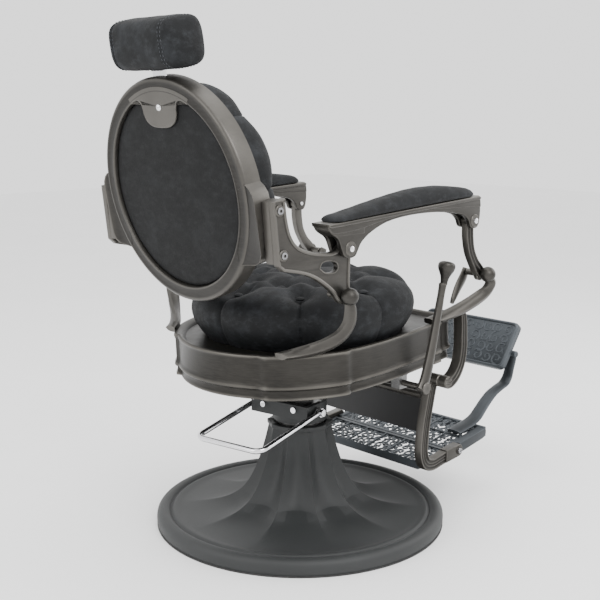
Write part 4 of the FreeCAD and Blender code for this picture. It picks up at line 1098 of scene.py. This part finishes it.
def build_leg_rest():
    f, z = -LEG_PIVOT.y, LEG_PIVOT.z
    fold_f, fold_z = -FOLD_PIVOT.y, FOLD_PIVOT.z
    w = 0.207
    bar = strip([(w, f, z, 0.022, 0.028), (w, 0.237, 0.318, 0.022, 0.028), (w, 0.229, 0.285, 0.022, 0.028),
                 (w, 0.219, 0.24, 0.022, 0.028), (w, 0.213, 0.195, 0.022, 0.028),
                 (w, 0.2125, 0.16, 0.022, 0.029), (w, 0.224, 0.135, 0.022, 0.03),
                 (w, 0.248, 0.127, 0.022, 0.03), (w, 0.276, 0.131, 0.022, 0.03),
                 (w, 0.3, 0.135, 0.022, 0.03)], fluted_section(3, 0.3))
    block_skin = plate_skin(outline([(0.296, 0.12), (0.338, 0.125),
                                     [(0.352, 0.128), (0.36, 0.14), (0.356, 0.153), (0.348, 0.158)],
                                     (0.296, 0.152)]), 0.1964, 0.22, 0.0022)
    boss = merge([disc_skin(0.196, 0.2355, f, z, 0.015),
                  disc_skin(0.219, 0.2212, fold_f, fold_z, 0.0105)])
    cast("leg_bar_castings", both_sides(merge([bar, block_skin, boss])), "leg_rest", SIDE_METAL,
         "antique_metal", "leg_bars")
    bolt = lathe([(1e-4, 0.003), (0.0028, 0.003), (0.003, 0.0046), (0.0058, 0.0046), (0.0068, 0.0034),
                  (0.007, 0.0), (1e-4, 0.0)],
                 Matrix.Translation(P(0.2205, fold_f, fold_z)) @ Matrix.Rotation(-math.pi / 2, 4, "Y"), 24)
    shank = disc_skin(0.183, 0.2205, fold_f, fold_z, 0.005, 0.0005)
    cast("fold_bolt_heads", both_sides(merge([bolt, shank])), "leg_rest", DARK_CHROME, "chrome",
         "fold_bolts")

    lip = plate_skin(outline([(0.215, 0.117), (0.222, 0.117), (0.224, 0.129), (0.2165, 0.137)]),
                     -0.1955, 0.1955, 0.0015)
    rails = [bar_skin(s * 0.1955 if s < 0 else 0.1855, s * 0.1855 if s < 0 else 0.1955, 0.222, 0.324, 0.01)
             for s in (-1, 1)]
    rails.append(bar_skin(-0.1955, 0.1955, 0.316, 0.324, 0.01))
    rails.append(bar_skin(-0.1955, 0.1955, 0.221, 0.229, 0.01))
    for k in range(-2, 3):
        rails.append(bar_skin(0.066 * k - 0.0022, 0.066 * k + 0.0022, 0.224, 0.32, 0.006))
    vines = fretwork(0.183, 0.045, 15, 4, 0.0038, tray_place(0.272), 0.4)
    cast("foot_grate_casting", merge([lip] + rails + [vines]), "leg_rest", STEP_METAL, "step_metal",
         "foot_grate")


def s_arm():
    """One S-shaped strap from the step up to the foot plate's pivot, on the sitter's right."""
    f, z = -PLATE_PIVOT.y, PLATE_PIVOT.z
    w = 0.158
    return merge([strip([(w, 0.402, 0.164, 0.042, 0.009), (w, 0.43, 0.1685, 0.042, 0.011),
                         (w, 0.463, 0.1735, 0.041, 0.013), (w, 0.49, 0.183, 0.038, 0.014),
                         (w, 0.512, 0.2, 0.036, 0.015), (w, 0.534, 0.218, 0.035, 0.015),
                         (w, 0.56, 0.235, 0.034, 0.014), (w, 0.588, 0.245, 0.033, 0.014),
                         (w, 0.614, 0.253, 0.032, 0.014), (w, 0.63, 0.269, 0.03, 0.013),
                         (w, 0.639, 0.293, 0.028, 0.012), (w, 0.6475, 0.312, 0.026, 0.012),
                         (w, f, z - 0.001, 0.024, 0.012)], ridged_section()),
                  disc_skin(0.146, 0.17, f, z, 0.0088)])


def build_step():
    skins = []
    for s in (-1, 1):
        rail = plate_skin(outline([(0.367, tray_top(0.367) - 0.027), (0.464, tray_top(0.464) - 0.0265),
                                   [(0.475, tray_top(0.475) - 0.023), (0.4775, tray_top(0.4775) - 0.012),
                                    (0.475, tray_top(0.475) - 0.001)], (0.367, tray_top(0.367))]),
                          *sorted((s * 0.18, s * 0.205)), 0.0022)
        ear = plate_skin(outline([(0.334, tray_top(0.334) - 0.019), (0.37, tray_top(0.37) - 0.019),
                                  (0.37, tray_top(0.37)), (0.334, tray_top(0.334))]),
                         *sorted((s * 0.1805, s * 0.1955)), 0.0018)
        skins += [rail, ear]
    skins.append(bar_skin(-0.204, 0.204, 0.469, 0.4775, 0.025))
    skins.append(bar_skin(-0.181, 0.181, 0.3265, 0.334, 0.01))
    for k in range(-2, 3):
        skins.append(bar_skin(0.066 * k - 0.0022, 0.066 * k + 0.0022, 0.33, 0.472, 0.006))
    skins.append(bar_skin(-0.181, 0.181, 0.398, 0.4025, 0.007))
    skins.append(fretwork(0.178, 0.069, 14, 6, 0.0038, tray_place(0.4), 1.9))
    cast("foot_step_casting", merge(skins), "step", STEP_METAL, "step_metal", "foot_step")
    cast("step_arm_castings", both_sides(s_arm()), "step", STEP_METAL, "step_metal", "step_arms")


def build_foot_plate():
    """The raised foot plate: a rimmed tablet covered with vine relief on the sole's side."""
    slope = math.radians(55)
    along = Vector((math.cos(slope), math.sin(slope)))
    out = Vector((along.y, -along.x))
    low = Vector((0.596, 0.3))

    def place(u, v, n=0.0):
        spot = low + along * (0.069 + v) - out * n
        return P(u, spot.x, spot.y)

    def tablet(half_u, half_v, n_low, n_high, corner):
        line = []
        for cu, cv, start in ((1, 1, 0), (-1, 1, 90), (-1, -1, 180), (1, -1, 270)):
            for k in range(7):
                a = math.radians(start + 15 * k)
                line.append((cu * (half_u - corner) + corner * math.cos(a),
                             cv * (half_v - corner) + corner * math.sin(a)))
        rings = []
        for n, grow in ((n_low, -0.0018), (n_low + 0.0018, 0), (n_high - 0.0018, 0), (n_high, -0.0018)):
            rings.append([place(u * (1 + grow / half_u), v * (1 + grow / half_v), n) for u, v in line])
        return rings_to_mesh(rings), line

    slab, line = tablet(0.16, 0.069, -0.0195, -0.003, 0.016)
    rim = tube_skin([place(u * 0.972, v * 0.935, -0.003) for u, v in line], 0.0042, closed=True, sides=8,
                    up=place(0, 0, 1) - place(0, 0, 0))
    vines = fretwork(0.147, 0.058, 9, 4, 0.0024, lambda u, v, n=0.0: place(u, v, n - 0.003), 0.9, 0.8)
    f, z = -PLATE_PIVOT.y, PLATE_PIVOT.z
    ears = both_sides(disc_skin(0.129, 0.137, f, z, 0.01))
    cast("foot_plate_casting", merge([slab, rim, vines, ears]), "foot_plate", STEP_METAL, "step_metal",
         "foot_plate")


def build_calf_pad():
    """The leather calf pad in front of its board, between the leg bars."""
    rows, across = 15, 41
    low, high = Vector((0.225, 0.2125)), Vector((0.244, 0.315))
    along = (high - low)
    out = Vector((along.y, -along.x)).normalized()
    half = 0.18
    grid = []
    for j in range(rows):
        v = -1 + 2 * j / (rows - 1)
        row = []
        for i in range(across):
            u = -1 + 2 * i / (across - 1)
            edge = (1 - abs(u) ** 8) * (1 - abs(v) ** 4)
            puff = 0.017 * max(edge, 0) ** 0.45
            for seam in (-0.5, 0.0, 0.5):
                puff -= 0.0035 * crease(abs(u - seam) * half, 0.006) * max(edge, 0) ** 0.5
            spot = low + along * (v + 1) / 2 + out * (0.0015 + puff)
            row.append(P(u * half, spot.x, spot.y))
        grid.append(row)
    flat = [[P((-1 + 2 * i / (across - 1)) * half, *(low + along * j / (rows - 1) + out * 0.0008))
             for i in range(across)] for j in range(rows)]
    verts = [v for row in grid for v in row] + [v for row in flat for v in row]
    faces = []
    size = rows * across
    for j in range(rows - 1):
        for i in range(across - 1):
            a = j * across + i
            faces.append((a, a + 1, a + 1 + across, a + across))
            faces.append((size + a, size + a + across, size + a + 1 + across, size + a + 1))
    border = ([i for i in range(across)] + [j * across + across - 1 for j in range(1, rows)]
              + [(rows - 1) * across + i for i in range(across - 2, -1, -1)]
              + [j * across for j in range(rows - 2, 0, -1)])
    for a, b in zip(border, border[1:] + border[:1]):
        faces.append((a, size + a, size + b, b))
    pad = new_object("calf_pad_cover", verts, faces, smooth_angle=65)
    finish_piece(pad, "leg_rest", NUBUCK, "leather", "calf_pad")


# ---------------------------------------------------------------- what stays as the CAD made it
CAD_FINISH = {
    COAT: "base_plate base_hub pump_yoke pump_neck",
    MACHINED: "hub_screws pump_cylinder gland_nut lift_ram seat_mount recline_lock shaft_bearing "
              "headrest_clamp headrest_bracket",
    SIDE_METAL: "leg_crossbar recline_shaft",
    RUBBER: "floor_ring seat_pan",
    DARK_CHROME: "leg_pins brake_loop",
    CHROME: "yoke_bolts pedal_pins pump_pedal oil_plug headrest_post",
    BRONZE: "thrust_washer hub_bush ram_piston",
    WOOD: "back_board",
    BLACK_BOARD: "calf_board",
}


def finish_cad():
    for mat, names in CAD_FINISH.items():
        for name in names.split():
            mesh = frame["nodes"][name].data
            mesh.materials.clear()
            mesh.materials.append(mat)


# ---------------------------------------------------------------- floor, light and camera
def build_stage():
    floor_mat, nodes, links, shader, place = material("studio_floor", (0.93, 0.93, 0.93), 0.7)
    mottling = noise_node(nodes, links, place, 2.0)
    links.new(ramp(nodes, links, mottling, [(0.2, (0.92, 0.92, 0.92)), (0.8, (0.95, 0.95, 0.95))]),
              shader.inputs["Base Color"])
    mesh = bpy.data.meshes.new("studio_floor")
    mesh.from_pydata([(-9, -9, 0), (9, -9, 0), (9, 9, 0), (-9, 9, 0)], [], [(0, 1, 2, 3)])
    floor = bpy.data.objects.new("studio_floor", mesh)
    floor.data.materials.append(floor_mat)
    bpy.context.scene.collection.objects.link(floor)
    world = bpy.data.worlds.new("studio")
    world.use_nodes = True
    world.node_tree.nodes["Background"].inputs["Color"].default_value = (1, 1, 1, 1)
    world.node_tree.nodes["Background"].inputs["Strength"].default_value = 1.7
    bpy.context.scene.world = world
    for name, place, aim, size, power in (
            ("key", (-2.4, 0.6, 2.6), (0, 0, 0.5), 1.6, 55), ("rear", (0.6, 2.8, 2.0), (0, 0, 0.6), 1.8, 32),
            ("fill", (-1.2, -2.6, 1.8), (0, 0, 0.6), 2.0, 34), ("top", (0.2, 0.2, 3.4), (0, 0, 0), 2.2, 40)):
        light = bpy.data.lights.new(name, "AREA")
        light.size = size
        light.energy = power
        lamp = bpy.data.objects.new(name, light)
        lamp.location = place
        lamp.rotation_euler = (Vector(aim) - Vector(place)).to_track_quat("-Z", "Y").to_euler()
        bpy.context.scene.collection.objects.link(lamp)


def build_camera():
    camera = bpy.data.cameras.new("camera")
    camera.sensor_width = 36
    camera.lens = 62.84
    eye = bpy.data.objects.new("camera", camera)
    eye.location = (-1.778, 1.685, 1.004)
    eye.rotation_euler = Vector((0.7133, -0.676, -0.1851)).to_track_quat("-Z", "Y").to_euler()
    bpy.context.scene.collection.objects.link(eye)
    bpy.context.scene.camera = eye


build_base()
build_seat_frame()
build_seat_cushion()
build_back_frame()
build_back_panel()
build_back_cushion()
build_headrest()
build_horns()
build_scrolls()
build_bracket_screws()
build_lever()
build_leg_rest()
build_calf_pad()
build_step()
build_foot_plate()
for side, flip in (("right", False), ("left", True)):
    build_bracket(side, flip)
    build_armrest(side, flip)
    build_link(side, flip)
finish_cad()
build_stage()
build_camera()
